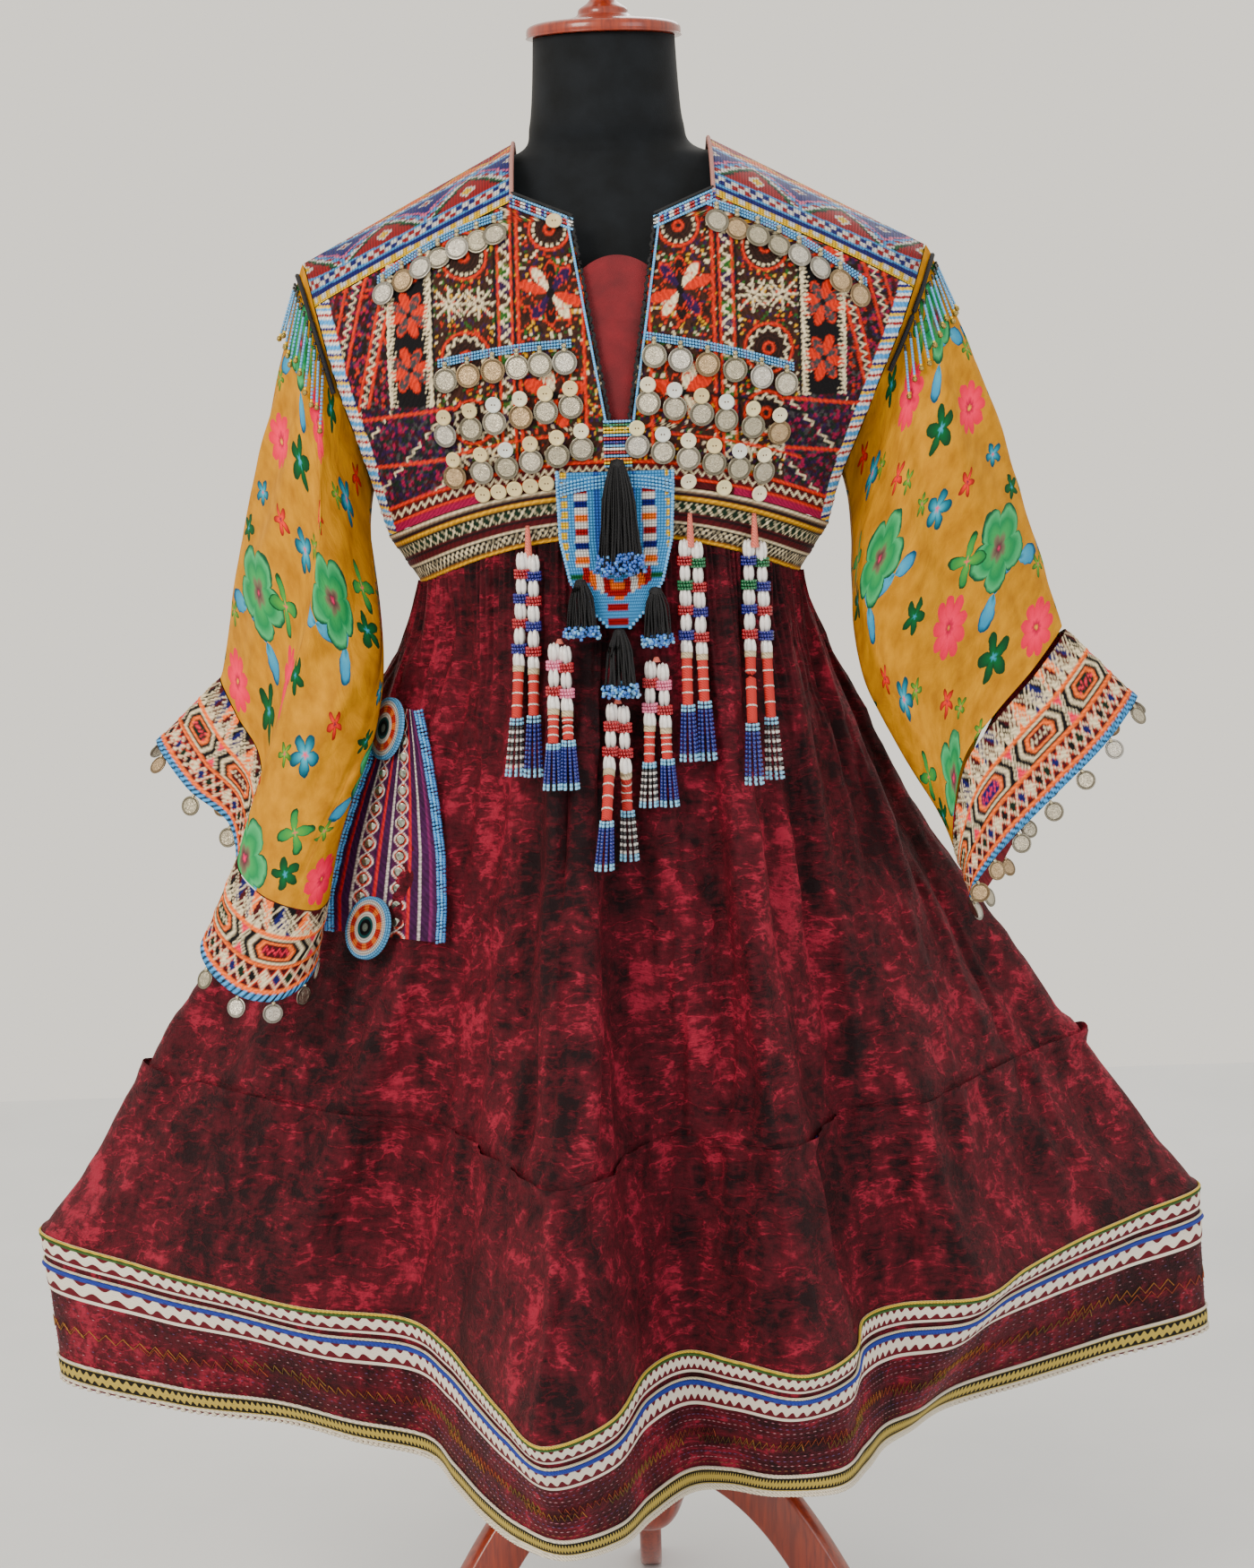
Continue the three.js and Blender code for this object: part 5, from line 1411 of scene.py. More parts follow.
def cuffPattern(u, v):
    # u round the cuff, v from the seam to the edge, in millimetres
    tint = ground("maroon", u, v, 91)
    rise = np.zeros(u.shape)
    top = v < 20
    share = u / 20 - np.floor(u / 20)
    inside = np.abs(share - 0.5) * 40 < v
    cell = np.floor(u / 20).astype(int)
    for place, code in enumerate(("maroon", "black", "navy", "maroon", "orange")):
        sew(tint, top & ((2 * cell + inside) % 5 == place), code)
    for way in (-1, 1):
        for late in (0, 4.5, 9):
            lean = u + way * v + late
            branch = stroke(centred(lean, 20), 1.7) * (v > late * 0.9)
            sew(tint, top * branch, "cream")
            rise += 0.6 * top * branch
    sew(tint, top * (v > 15) * (np.floor(u / 5) % 2 == 0), "cream")
    middle = (v > 22) & (v < 40)
    sew(tint, middle, "black")
    spot = np.floor(u / 60)
    du = centred(u, 60)
    dv = v - 31
    six = np.maximum(np.abs(dv) / 7.5, (np.abs(du) + 0.8 * np.abs(dv)) / 22)
    for place, code in enumerate(("darkGreen", "maroon", "navy")):
        sew(tint, middle * (six < 0.95) * (spot % 3 == place), code)
    for size, code in ((0.98, "cream"), (0.78, "black"), (0.62, "orange")):
        sew(tint, middle * stroke((six - size) * 8, 1.4), code)
    core = stroke(dv - zigzag(du, 5, 1.9), 1.7) * (six < 0.55) * (np.abs(du) < 11)
    sew(tint, middle * core * (spot % 2 == 0), "pink")
    sew(tint, middle * core * (spot % 2 == 1), "cream")
    gap = 30 - np.abs(du)
    for away, code in ((5.6, "navy"), (4.2, "pink")):
        corner = (gap + 0.8 * (8 - np.abs(dv)) < away) * (np.abs(dv) > 3)
        sew(tint, middle * corner, code)
    for way in (-1, 1):
        cross = stroke(gap - way * dv * 0.75, 3.6) * (gap < 7.5)
        sew(tint, middle * cross, "cream")
        thin = stroke(gap - way * dv * 0.75, 1.2) * (gap < 7)
        sew(tint, middle * thin, "black")
        rise += 0.5 * middle * cross
    low = (v > 42.5) & (v < 56.5)
    sew(tint, low, "rust")
    dv = v - 49.5
    grid = np.floor(u / 9)
    du = centred(u, 9)
    lozenge = np.abs(du) / 4.5 + np.abs(dv) / 6
    for place, code in enumerate(("black", "cream", "navy", "darkGreen")):
        sew(tint, low * (lozenge < 0.72) * (grid % 4 == place), code)
    sew(tint, low * stroke((lozenge - 1) * 4, 1.4), "cream")
    sew(tint, low * (lozenge > 1.35), "maroon")
    rise += 0.5 * low * stroke((lozenge - 1) * 4, 1.3) + 0.5 * middle * stroke((six - 1) * 8, 1.5)
    couch(tint, rise, v, [(place, "orange", 2.4) for place in (21, 41.3, 57.5)], 0.9)
    edge = v > 59
    sew(tint, edge, "black")
    wrap = u + 0.8 * v
    beadOver(tint, edge * stroke(centred(wrap, 5), 2.8), "sky")
    rise += 1.2 * edge
    return tint, rise


def makeCuffs():
    # each cuff's outer face, turned in at the edge to a plain lining
    for name, (side, rows) in sleeveSides.items():
        turn = np.arange(330)[:, None] / 330
        start = 0.012 if name == "left" else 0.05
        down = np.linspace(start, 1, 46)[None, :]
        turns, downs = turn + 0 * down, down + 0 * turn
        ring = cuffPoint(rows, turn[:, 0], 0.5 + 0 * turn[:, 0])
        steps = np.linalg.norm(np.roll(ring, -1, 0) - ring, axis=-1)
        u = np.concatenate([[0], np.cumsum(steps)[:-1]])[:, None] + 0 * down
        length = float(steps.sum())
        u = u * (round(length / 120) * 120 / length)
        tint, rise = cuffPattern(u, downs * 64)
        outer = offCuff(side, rows, turns, downs, rise)
        back = np.linspace(0.995, start + 0.02, 10)[None, :] + 0 * turn
        inner = offCuff(side, rows, turn + 0 * back, back, np.full(back.shape, -1.8))
        lining = np.broadcast_to(shade("#7c2531"), inner.shape)
        points = np.concatenate([outer, inner], axis=1)
        piece = clothMesh(f"cuff{name.title()}", points, embroidery, (length / 1000, 0.128), True,
                          np.concatenate([tint, lining], axis=1),
                          ring.mean(axis=0))
        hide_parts(f"cuff_{name}")


makeSleeves()
makeCuffs()

print("stage: beads, coins and cords")


def lathed(profile, around):
    # a closed turned shape round local z: rings of points, then a pole at each end
    angle = circle(around)
    inner = profile[1:-1]
    rings = [np.stack([r * np.cos(angle), r * np.sin(angle), np.full(around, z)], -1)
             for r, z in inner]
    points = np.concatenate([*rings, [[0, 0, profile[0][1]], [0, 0, profile[-1][1]]]])
    a, b = np.arange(around), (np.arange(around) + 1) % around
    faces = []
    for ring in range(len(inner) - 1):
        low, high = ring * around, (ring + 1) * around
        faces += [np.stack([low + a, low + b, high + b], -1),
                  np.stack([low + a, high + b, high + a], -1)]
    poles = len(inner) * around
    last = poles - around
    faces += [np.stack([b, a, np.full(around, poles)], -1),
              np.stack([last + a, last + b, np.full(around, poles + 1)], -1)]
    return points, np.concatenate(faces)


bead = lathed([(0, -0.5), (0.84, -0.38), (0.84, 0.38), (0, 0.5)], 5)
stitch = lathed([(0, -0.5), (0.9, 0), (0, 0.5)], 4)
roundBead = lathed([(0, -0.5), (0.45, -0.26), (0.45, 0.26), (0, 0.5)], 7)
coinShape = lathed([(0, -0.6), (0.97, -0.6), (1.0, -0.2), (1.0, 0.35), (0.95, 0.62),
                    (0.88, 0.5), (0.5, 0.58), (0, 0.66)], 24)
buttonShape = lathed([(0, -1.0), (0.9, -0.8), (1.0, 0), (0.92, 0.7), (0.8, 0.8), (0.66, 0.35),
                      (0, 0.3)], 18)


def basis(normal, up):
    # rows: sideways, up the surface, out of it
    normal = unit(normal)
    side = unit(np.cross(up, normal))
    return np.stack([side, np.cross(normal, side), normal], -2)


def copies(name, shape, origins, axes, sizes, material, codes, nodes):
    # one mesh of many copies: point = origin + local x, y, z times size along the axes;
    # one size, one set of axes or one colour serves them all
    local, faces = shape
    origins = np.asarray(origins, float)
    count, corners = len(origins), len(local)
    sizes = np.array(np.broadcast_to(np.asarray(sizes, float), (count, 3)))
    axes = np.array(np.broadcast_to(axes, (count, 3, 3)))
    codes = [codes] * count if isinstance(codes, str) else codes
    points = origins[:, None] + np.einsum("nij,njk->nik", local[None] * sizes[:, None, :], axes)
    every = (faces[None] + np.arange(count)[:, None, None] * corners).reshape(-1, 3)
    tint = np.repeat(np.array([toLinear(code) for code in codes]), corners, axis=0)
    corner = np.tile(local[faces][..., :2] / 2 + 0.5, (count, 1, 1, 1))
    piece = meshFrom(name, points.reshape(-1, 3), every, material, corner.reshape(-1, 3, 2), tint)
    for node in nodes:
        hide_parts(node)


def tube(path, radius, sides, closed=False):
    # rings square to a path; each ring's first axis is level with the ground
    path = np.asarray(path, float)
    along = unit((np.roll(path, -1, 0) - np.roll(path, 1, 0)) if closed else (
        np.gradient(path, axis=0)))
    up = np.where(np.abs(along[:, 2:]) > 0.9, [[0, 1, 0]], [[0, 0, 1]])
    first = unit(np.cross(along, up))
    second = np.cross(along, first)
    angle = circle(sides)
    count = len(path)
    radius = np.broadcast_to(radius, count)[:, None, None]
    points = path[:, None] + radius * (np.cos(angle)[None, :, None] * first[:, None]
                                       + np.sin(angle)[None, :, None] * second[:, None])
    points = points.reshape(-1, 3)
    i = np.arange(count if closed else count - 1)[:, None]
    j = np.arange(sides)
    k, m = (i + 1) % count, (j + 1) % sides
    quads = np.stack(np.broadcast_arrays(i * sides + j, k * sides + j, k * sides + m,
                                         i * sides + m), -1).reshape(-1, 4)
    triangles = np.concatenate([quads[:, [0, 1, 2]], quads[:, [0, 2, 3]]])
    if closed:
        return points, triangles
    last, low = (count - 1) * sides, count * sides
    fans = np.concatenate([np.stack([m, j, np.full(sides, low)], -1),
                           np.stack([last + j, last + m, np.full(sides, low + 1)], -1)])
    return np.concatenate([points, path[:1], path[-1:]]), np.concatenate([triangles, fans])


def cords(name, tubes, codes, nodes):
    # several tubes of cotton cord in one mesh, each with its own colour
    starts = np.cumsum([0] + [len(spots) for spots, _ in tubes])
    points = np.concatenate([spots for spots, _ in tubes])
    faces = np.concatenate([part + start for (_, part), start in zip(tubes, starts)])
    tint = np.concatenate([np.tile(toLinear(code), (len(spots), 1))
                           for (spots, _), code in zip(tubes, codes)])
    piece = meshFrom(name, points, faces, cordThread, np.zeros((len(faces), 3, 2)), tint)
    for node in nodes:
        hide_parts(node)


def looseThread():
    # twisted cotton or crochet cord, matt, its twist as fine ridges
    material, tree, shader = newMaterial("twisted cotton cord")
    twist = addNode(tree, "TexWave", {"Vector": objectPlace(tree), "Scale": 260.0,
                                      "Distortion": 2.0}, bands_direction="DIAGONAL").outputs[1]
    setInputs(tree, shader, {"Base Color": dyed(tree, scaled(tree, twist, 0.5, 0.65)),
                             "Roughness": 0.75, "Normal": raised(tree, twist, 0.6, 0.0008)})
    return material


def looseBeads():
    # pressed glass seed bead: bright gloss with a little light in the body
    material, tree, shader = newMaterial("pressed glass bead")
    vary = noise(tree, objectPlace(tree), 320.0)
    setInputs(tree, shader, {"Base Color": dyed(tree, scaled(tree, vary, 0.5, 0.75)),
                             "Roughness": 0.2, "Coat Weight": 0.6, "Coat Roughness": 0.06})
    return material


def coinMetal():
    # worn struck white metal: struck relief inside a ring of dots, dirt in the low parts, and the
    # whole outer ring and rim darker as painted edge shade
    material, tree, shader = newMaterial("worn struck white metal")
    where = objectPlace(tree)
    middle = vectorCalc(tree, "SUBTRACT", clothPlace(tree), (0.5, 0.5, 0))
    far = vectorCalc(tree, "LENGTH", middle)
    parts = addNode(tree, "SeparateXYZ", {0: middle})
    angle = calc(tree, "ARCTAN2", parts.outputs[1], parts.outputs[0])
    dots = calc(tree, "COSINE", calc(tree, "MULTIPLY", angle, 40.0))
    ring = calc(tree, "MULTIPLY", dots, calc(tree, "COMPARE", far, 0.41, 0.022))
    struck = noise(tree, where, 420.0, 2.0, Distortion=2.4)
    relief = calc(tree, "MULTIPLY", struck, calc(tree, "LESS_THAN", far, 0.36))
    wear = noise(tree, where, 150.0, 4.0)
    setInputs(tree, shader, {
        # colour lighter on the relief's high parts, darker in its low parts (dirt); 0.42 outside
        # the struck disc is painted edge shade
        "Base Color": dyed(tree, scaled(tree, relief, 0.9, 0.42)), "Metallic": 1.0,
        "Roughness": addNode(tree, "MapRange", {0: wear, 3: 0.18, 4: 0.42}).outputs[0],
        "Normal": raised(tree, scaled(tree, ring, 0.35, relief), 0.8, 0.0012)})
    return material


def buttonShell():
    # shirt button cut from shell: satin, with two dark sewing holes
    material, tree, shader = newMaterial("shirt button of polished shell")
    middle = vectorCalc(tree, "SUBTRACT", clothPlace(tree), (0.5, 0.5, 0))
    folded = vectorCalc(tree, "ABSOLUTE", middle)
    hole = calc(tree, "LESS_THAN", vectorCalc(tree, "DISTANCE", folded, (0.09, 0.0, 0)), 0.05)
    dark = addNode(tree, "RGB")
    dark.outputs[0].default_value = toLinear("#4a2f1c")
    setInputs(tree, shader, {"Base Color": mixColours(tree, hole, tintOf(tree), dark.outputs[0]),
                             "Roughness": 0.35, "Coat Weight": 0.3})
    return material


cordThread, glassBeads, coinFinish, shell = looseThread(), looseBeads(), coinMetal(), buttonShell()
random = np.random.default_rng(7)

coinRows = [
    ("shoulder_coins_left", 7, (-174, 1190), (-86, 1231), 5, False),
    ("shoulder_coins_right", 8, (81, 1236), (190, 1178), 6, False),
    ("coin_row_upper_left", 6, (-128, 1124), (-37, 1135), 2, False),
    ("coin_row_upper_right", 6, (31, 1138), (131, 1114), 2, False),
    ("coin_row_middle_left", 6, (-129, 1083), (-34, 1102), 1, True),
    ("coin_row_middle_right", 6, (25, 1103), (124, 1077), 1, True),
    ("coin_row_lower_left", 6, (-123, 1051), (-26, 1070), -1, True),
    ("coin_row_lower_right", 6, (16, 1071), (112, 1047), -1, True),
]
buttonRows = [("waist_buttons_left", 5, (-103, 1037), (-54, 1044.5)),
              ("waist_buttons_right", 3, (54, 1042.4), (108, 1030.5))]
coinLooks = {"radius": 9.6, "buttonRadius": 6.2, "upward": 13.5, "pitch": 2.3,
             "shanks": "#c9bd97",
             "metal": ["#c6bda8", "#d2c9b4", "#bdb49c", "#d9d3c6", "#c9ab84"],
             "shell": ["#d8cc98", "#d2bf8a", "#dcd3b2", "#c9b682", "#cfd3cc"]}


def tilted(axes, amount):
    # each face leans a little sideways and up, seeded
    normal = axes[:, 2] + random.uniform(-amount, amount, (len(axes), 3))
    return basis(normal, axes[:, 1] + random.uniform(-amount, amount, (len(axes), 3)))


def picked(codes, among, count):
    # seeded choice of one of the first colours for each piece
    return [codes[k] for k in random.integers(0, among, count)]


def frontAxes(x, z):
    # sideways, up and out of the cloth on the front
    return basis(frontNormal(x, z), [0.0, 0.0, 1.0])


def makeCoinRows():
    # overlapping coins, each row with buttons or with three lines of beads and shanks above it
    radius, small = coinLooks["radius"], coinLooks["buttonRadius"]
    for name, count, start, end, bow, button in coinRows:
        short = name.replace("_", "")
        share = np.linspace(0, 1, count)
        x = lerp(start[0], end[0], share) + random.uniform(-0.6, 0.6, count)
        z = lerp(start[1], end[1], share) + bow * np.sin(np.pi * share)
        out = np.where(np.arange(count) % 2, 2.2, 3.4)
        axes = tilted(frontAxes(x, z), 0.10)
        codes = picked(coinLooks["metal"], 5, count)
        copies(short + "Coins", coinShape, frontPoint(x, z, out), axes, [radius, radius, 1.0],
               coinFinish, codes, [name])
        if button:
            codes = picked(coinLooks["shell"], 5, count)
            above = z + coinLooks["upward"]
            copies(short + "Buttons", buttonShape, frontPoint(x, above, out + 1.6),
                   tilted(frontAxes(x, above), 0.12), [small, small, 1.3], shell, codes, ())
            continue
        pitch = coinLooks["pitch"]
        steps = int(np.hypot(end[0] - start[0], end[1] - start[1]) / pitch) + 5
        share = np.linspace(-0.05, 1.05, steps)
        x2 = lerp(start[0], end[0], share)
        z2 = lerp(start[1], end[1], share) + bow * np.sin(np.pi * share) + 11.5
        spots = np.concatenate([frontPoint(x2, z2 + pitch * line, 1.6) for line in range(3)])
        aim = basis(np.array([end[0] - start[0], 0.0, end[1] - start[1]]), [0.0, -1.0, 0.0])
        copies(short + "Beads", bead, spots, aim, [1.25, 1.25, 2.1], glassBeads, glass["sky"], ())
        ups = frontPoint(np.repeat(x, 2), np.repeat(z, 2) + np.tile([9.6, 12.6], count), 3.4)
        copies(short + "Shanks", roundBead, ups, np.eye(3), [4.6, 4.0, 4.0], coinFinish,
               coinLooks["shanks"], ())
    for name, count, start, end in buttonRows:
        share = np.linspace(0, 1, count)
        x, z = lerp(start[0], end[0], share), lerp(start[1], end[1], share)
        codes = picked(coinLooks["shell"], 4, count)
        copies(name.replace("_", ""), buttonShape, frontPoint(x, z, 2.8),
               tilted(frontAxes(x, z), 0.1), [6.4, 6.4, 1.3], shell, codes, [name])


makeCoinRows()


def makeCuffCoins():
    # coins hung from the cuff's edge, each from a shank
    for name, (side, rows) in sleeveSides.items():
        count = 15 if name == "left" else 16
        turn = np.linspace(0.03, 0.97, count)
        edge = between(rows, turn, True)
        rim = edge[:, 3:]
        hang = unit(unit(rim - edge[:, :3]) * 0.55 + np.array([0, 0, -0.45]))
        normal = cuffNormal(side, rows, turn, np.full(count, 0.99))
        axes = tilted(basis(normal, -hang), 0.14)
        copies(f"cuffCoins{name.title()}", coinShape, rim + hang * 9.5 + normal * 0.6, axes,
               [8.0, 8.0, 0.95], coinFinish, picked(coinLooks["metal"], 5, count),
               [f"cuff_coins_{name}"])
        copies(f"cuffShanks{name.title()}", roundBead, rim + hang * 1.6 + normal * 0.9, axes,
               [3.2, 4.2, 3.2], coinFinish, "#cfc4a2", ())


def makeFringes():
    # strands of sky beads with a brass bell at each end, hung round the front of the armhole
    strands, beads = 21, 17
    for name, (side, rows) in sleeveSides.items():
        turns = np.repeat(np.linspace(-0.24, 0.25, strands), beads)
        share = np.tile(np.linspace(0, 1, beads), strands)
        length = np.repeat(0.118 + 0.02 * random.uniform(-1, 1, strands), beads)
        along = 0.05 + length * share
        spots = offSleeve(side, rows, turns, along, 2.4 + 14 * along)
        nextSpots = offSleeve(side, rows, turns, along + 0.01, 2.4 + 14 * along)
        aim = basis(nextSpots - spots, [0.0, -1.0, 0.3])
        last = share > 0.99
        codes = np.where(share > 0.9, glass["yellow"],
                         np.where(share < 0.12, glass["black"], glass["sky"]))
        copies(f"fringe{name.title()}", bead, spots[~last], aim[~last], [1.3, 1.3, 2.7],
               glassBeads, list(codes[~last]), [f"fringe_{name}"])
        copies(f"fringeBells{name.title()}", roundBead, spots[last], aim[last], [4.6, 4.6, 5.4],
               coinFinish, "#b39a55", ())
        path = offSleeve(side, rows, np.linspace(-0.3, 0.31, 60), np.full(60, 0.03), 2.2)
        cords(f"armholeBraid{name.title()}", [tube(path, 2.0, 6)], ["#15161c"], ())


makeCuffCoins()
makeFringes()

print("stage: neck edge and placket")


def makeNeckEdge():
    # bindings down the slit, along the front neck, over the shoulders and round the back neck
    steps, black, pink = 90, "#101116", "#b98178"
    height = np.linspace(slitFoot, 1246, steps)
    tubes, codes, spots = [], [], []
    for side in (-1, 1):
        x = neck["middle"] + side * (slitEdge(height) + 0.8)
        wave = 0.8 * np.sin(np.arange(steps) * 1.9)
        tubes.append(tube(frontPoint(x + wave * side, height, 1.2 + 0.3 * wave), 1.35, 5))
        x = neck["middle"] + side * (slitEdge(height) + 4.2)
        spots.append(frontPoint(x, height, 1.4))
        top = np.linspace(31, 77, 24)
        z = np.interp(top, [31, 77], [1244, 1263])
        x = neck["middle"] + side * (top + 0.4)
        spots += [frontPoint(x, z - 2.5 - 2.6 * line, 1.5) for line in range(4)]
        tubes.append(tube(frontPoint(neck["middle"] + side * top, z, 1.0), 1.5, 5))
        over = np.linspace(-1, 1, 70)
        up = 1 - np.abs(over) * (1 - yokeUp) * 0.995
        path = bodyPoint(np.where(over < 0, -1.0, 1.0), side * panelEdge(side, up), up)
        tubes.append(tube(path + np.array([0, 0, 0.8]), 1.7, 6))
        codes += [black, black, pink]
    across = np.linspace(-0.333, 0.333, 50)
    tubes.append(tube(bodyPoint(1.0, across, backNeck(across)), 1.7, 6))
    cords("neckBinding", tubes, [*codes, pink], ["neck_edge"])
    for place, row in enumerate(spots):
        mixed = ["white", "white", "red", "red", "sky", "navy"]
        order = ["sky"] if place % 5 in (0, 1, 4) else mixed
        copies(f"neckBeads{place}", bead, row, basis(np.gradient(row, axis=0), [0.0, -1.0, 0.01]),
               [1.3, 1.3, 2.3], glassBeads,
               [glass[order[k % len(order)]] for k in range(len(row))], ())
    x, z = np.array([-42.0]), np.array([1240.0])
    copies("neckButton", buttonShape, frontPoint(x, z, 2.6), frontAxes(x, z), [6.4, 6.4, 1.3],
           shell, "#cdb98a", ())


def redCotton():
    # plain-weave red cotton, faded in clouds
    material, tree, shader = newMaterial("plain-weave red cotton")
    where = clothPlace(tree)
    cloud = noise(tree, where, 45.0, 5.0)
    weave = noise(tree, where, 1500.0)
    setInputs(tree, shader, {
        "Base Color": ramp(tree, cloud, [(0.3, "#560612"), (0.7, "#780c1a")]), "Roughness": 0.8,
        "Normal": raised(tree, calc(tree, "ADD", weave, cloud), 0.5, 0.0015)})
    return material


def makePlacket():
    # red cloth behind the slit, its top edge bowed, with a mended seam across it
    x = np.linspace(-30, 36, 60)[:, None]
    top, foot = 1216 - 18 * ((x - 4) / 34) ** 2, 1085
    z = foot + (top - foot) * np.linspace(0, 1, 80)[None, :]
    x = x + 0 * z
    mend = 0.7 * np.exp(-((z - 1168 + 0.1 * x) / 2) ** 2)
    crease = 0.9 * unevenness(x + 200, z, 16, 26, 61) + mend
    piece = clothMesh("placket", frontPoint(x, z, crease - 4.4), redCotton(), (0.068, 0.13))
    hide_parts("placket")


makeNeckEdge()
makePlacket()

print("stage: trims")

# node, start and end down the band, cord colours and radii, cream, ground, wave's repeat in mm
trimLooks = [
    ("trim_upper", 0.012, 0.168, [("#d2b02c", 1.2), ("#2f5a1c", 1.3)], "#e3dacb", "#5c0f1c", 11),
    ("trim_lower", 0.202, 0.398, [("#d9cfae", 1.0), ("#0f2f9c", 2.3)], "#e3dacb", "#5c0f1c", 13),
    ("trim_hem", 0.862, 0.992, [], "#b09a48", "#14120c", 4),
]


bandLooks = {
    "rows": [(0.43, "#a8687a"), (0.47, "#6a4a78"), (0.51, "#b08088"), (0.545, "#7a3a50"),
             (0.70, "#a8687a"), (0.74, "#6a4a78"), (0.78, "#b08088"), (0.82, "#8a5a3c")],
    "gold": ["#b0742a", "#a84a22", "#8a6a2a"], "scallops": "#ddd3c0", "piping": "#5c1424",
}


def braidMaterial(cream, dark, period, width):
    # woven braid: two plain edges and a wavy line between them on a darker ground
    material, tree, shader = newMaterial("woven wave braid")
    where = clothPlace(tree)
    parts = addNode(tree, "SeparateXYZ", {0: where})
    turn = calc(tree, "MULTIPLY", parts.outputs[0], fullTurn / (period / 1000))
    wave = scaled(tree, calc(tree, "SINE", turn), width * 0.10, parts.outputs[1])
    band = calc(tree, "COMPARE", wave, width * 0.5, width * 0.19)
    off = calc(tree, "ABSOLUTE", calc(tree, "SUBTRACT", parts.outputs[1], width * 0.5))
    shown = calc(tree, "MAXIMUM", band, calc(tree, "GREATER_THAN", off, width * 0.37))
    grain = noise(tree, where, 900.0)
    mix = calc(tree, "MULTIPLY", shown, calc(tree, "ADD", grain, 0.45))
    setInputs(tree, shader, {
        "Base Color": ramp(tree, mix, [(0.25, dark), (0.8, cream)]), "Roughness": 0.75,
        "Specular IOR Level": 0.2, "Normal": raised(tree, mix, 0.8, 0.0015)})
    return material


def makeTrims():
    # ribbons round the stiff band, with cords beside the upper two and at the hem's edges
    columns, rows = 760, 7
    turn = np.arange(columns)[:, None] / columns
    for name, start, end, pair, cream, dark, period in trimLooks:
        down = np.linspace(start, end, rows)[None, :]
        rise = 0.9 + 0.9 * np.sin(np.linspace(0, np.pi, rows))[None, :] + 0 * turn
        points = offBand(turn + 0 * down, down + 0 * turn, rise)
        middle = points[:, rows // 2]
        length = float(np.linalg.norm(np.roll(middle, -1, 0) - middle, axis=-1).sum())
        width = float(np.linalg.norm(np.diff(points[0], axis=0), axis=-1).sum())
        repeats = round(length / period) * period
        piece = clothMesh(name.replace("_", ""), points,
                          braidMaterial(cream, dark, period, width / 1000),
                          (repeats / 1000, width / 1000), True)
        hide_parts(name)
        tubes, codes, place = [], [], start
        for code, radius in pair:
            place += radius / 125
            level = np.full(columns, place)
            tubes.append(tube(offBand(turn[:, 0], level, 1.5), radius, 4, True))
            codes.append(code)
            place += radius / 125
        if name == "trim_hem":
            for place in (start, end):
                level = np.full(columns, place)
                tubes.append(tube(offBand(turn[:, 0], level, 1.2), 1.5, 4, True))
                codes.append("#ddd3c0")
        cords(name.replace("_", "") + "Cords", tubes, codes, ())


def makeBandStitches():
    # short running stitches in rows along the stiff band, and broken zigzags of gold thread
    count, rounds = 330, 46
    spots, ways, codes = [], [], []
    for down, code in bandLooks["rows"]:
        turn, level = (np.arange(count) + 7 * down) / count, np.full(count, down)
        row = offBand(turn, level, 0.4)
        spots.append(row)
        ways.append(offBand(turn + 0.001, level, 0.4) - row)
        codes += [code] * count
    aim = basis(np.concatenate(ways), [0.0, 0.0, 1.0])
    copies("bandStitches", stitch, np.concatenate(spots), aim, [0.5, 0.5, 3.4], cordThread, codes,
           ())
    tubes = []
    for place in range(rounds):
        turn = place / rounds + np.arange(22) / 3300 * 5.2
        level = 0.625 + 0.03 * math.sin(2.3 * place)
        down = level + 0.028 * np.where(np.arange(22) % 2, 1, -1)
        tubes.append(tube(offBand(turn, down, 0.5), 0.5, 3))
    codes = [bandLooks["gold"][place % 3] for place in range(rounds)]
    cords("bandZigzag", tubes, codes, ())
    edge = offBand(np.arange(700) / 700, np.full(700, 0.998), 0.4) + np.array([0, 0, -1.0])
    spots = offBand(np.arange(560) / 560, np.full(560, 0.999), 0.2) - np.array([0, 0, 2.0])
    copies("hemScallops", roundBead, spots, np.eye(3), [5.6, 5.6, 4.4], cordThread,
           bandLooks["scallops"], ())
    cords("hemPiping", [tube(edge, 1.3, 5, True)], [bandLooks["piping"]], ())


makeTrims()
makeBandStitches()

print("stage: medallion, tassels and bead strands")


def nodeSpots(node):
    # a node's own corners in millimetres from the pole's axis
    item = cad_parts[node]
    spots = np.empty(len(item.data.vertices) * 3)
    item.data.vertices.foreach_get("co", spots)
    spots = spots.reshape(-1, 3) @ np.array(item.matrix_world.to_3x3()).T
    return (spots + np.array(item.matrix_world.translation) - np.array([poleX, 0, 0])) * 1000


def tapered(table, levels, columns):
    # a flat grid between a left and a right edge that change with height; share runs across
    rows = np.array(table, float)[::-1]
    z = np.linspace(rows[0, 0], rows[-1, 0], levels)[None, :]
    left, right = np.interp(z, rows[:, 0], rows[:, 1]), np.interp(z, rows[:, 0], rows[:, 2])
    share = np.linspace(0, 1, columns)[:, None]
    return left + (right - left) * share, z + 0 * share, share


def frontByHeight(node):
    # the node's foremost y at each height of its corners
    spots = nodeSpots(node)
    heights = np.unique(np.round(spots[:, 2], 0))
    fronts = [spots[np.abs(spots[:, 2] - h) < 1.2, 1].min() for h in heights]
    return heights, np.array(fronts)


# height, left and right edge
medallionRows = [[1052, -46, 42], [1040, -46, 42], [1000, -45, 40], [968, -38, 32],
                 [948, -24, 20], [934, -10, 6]]


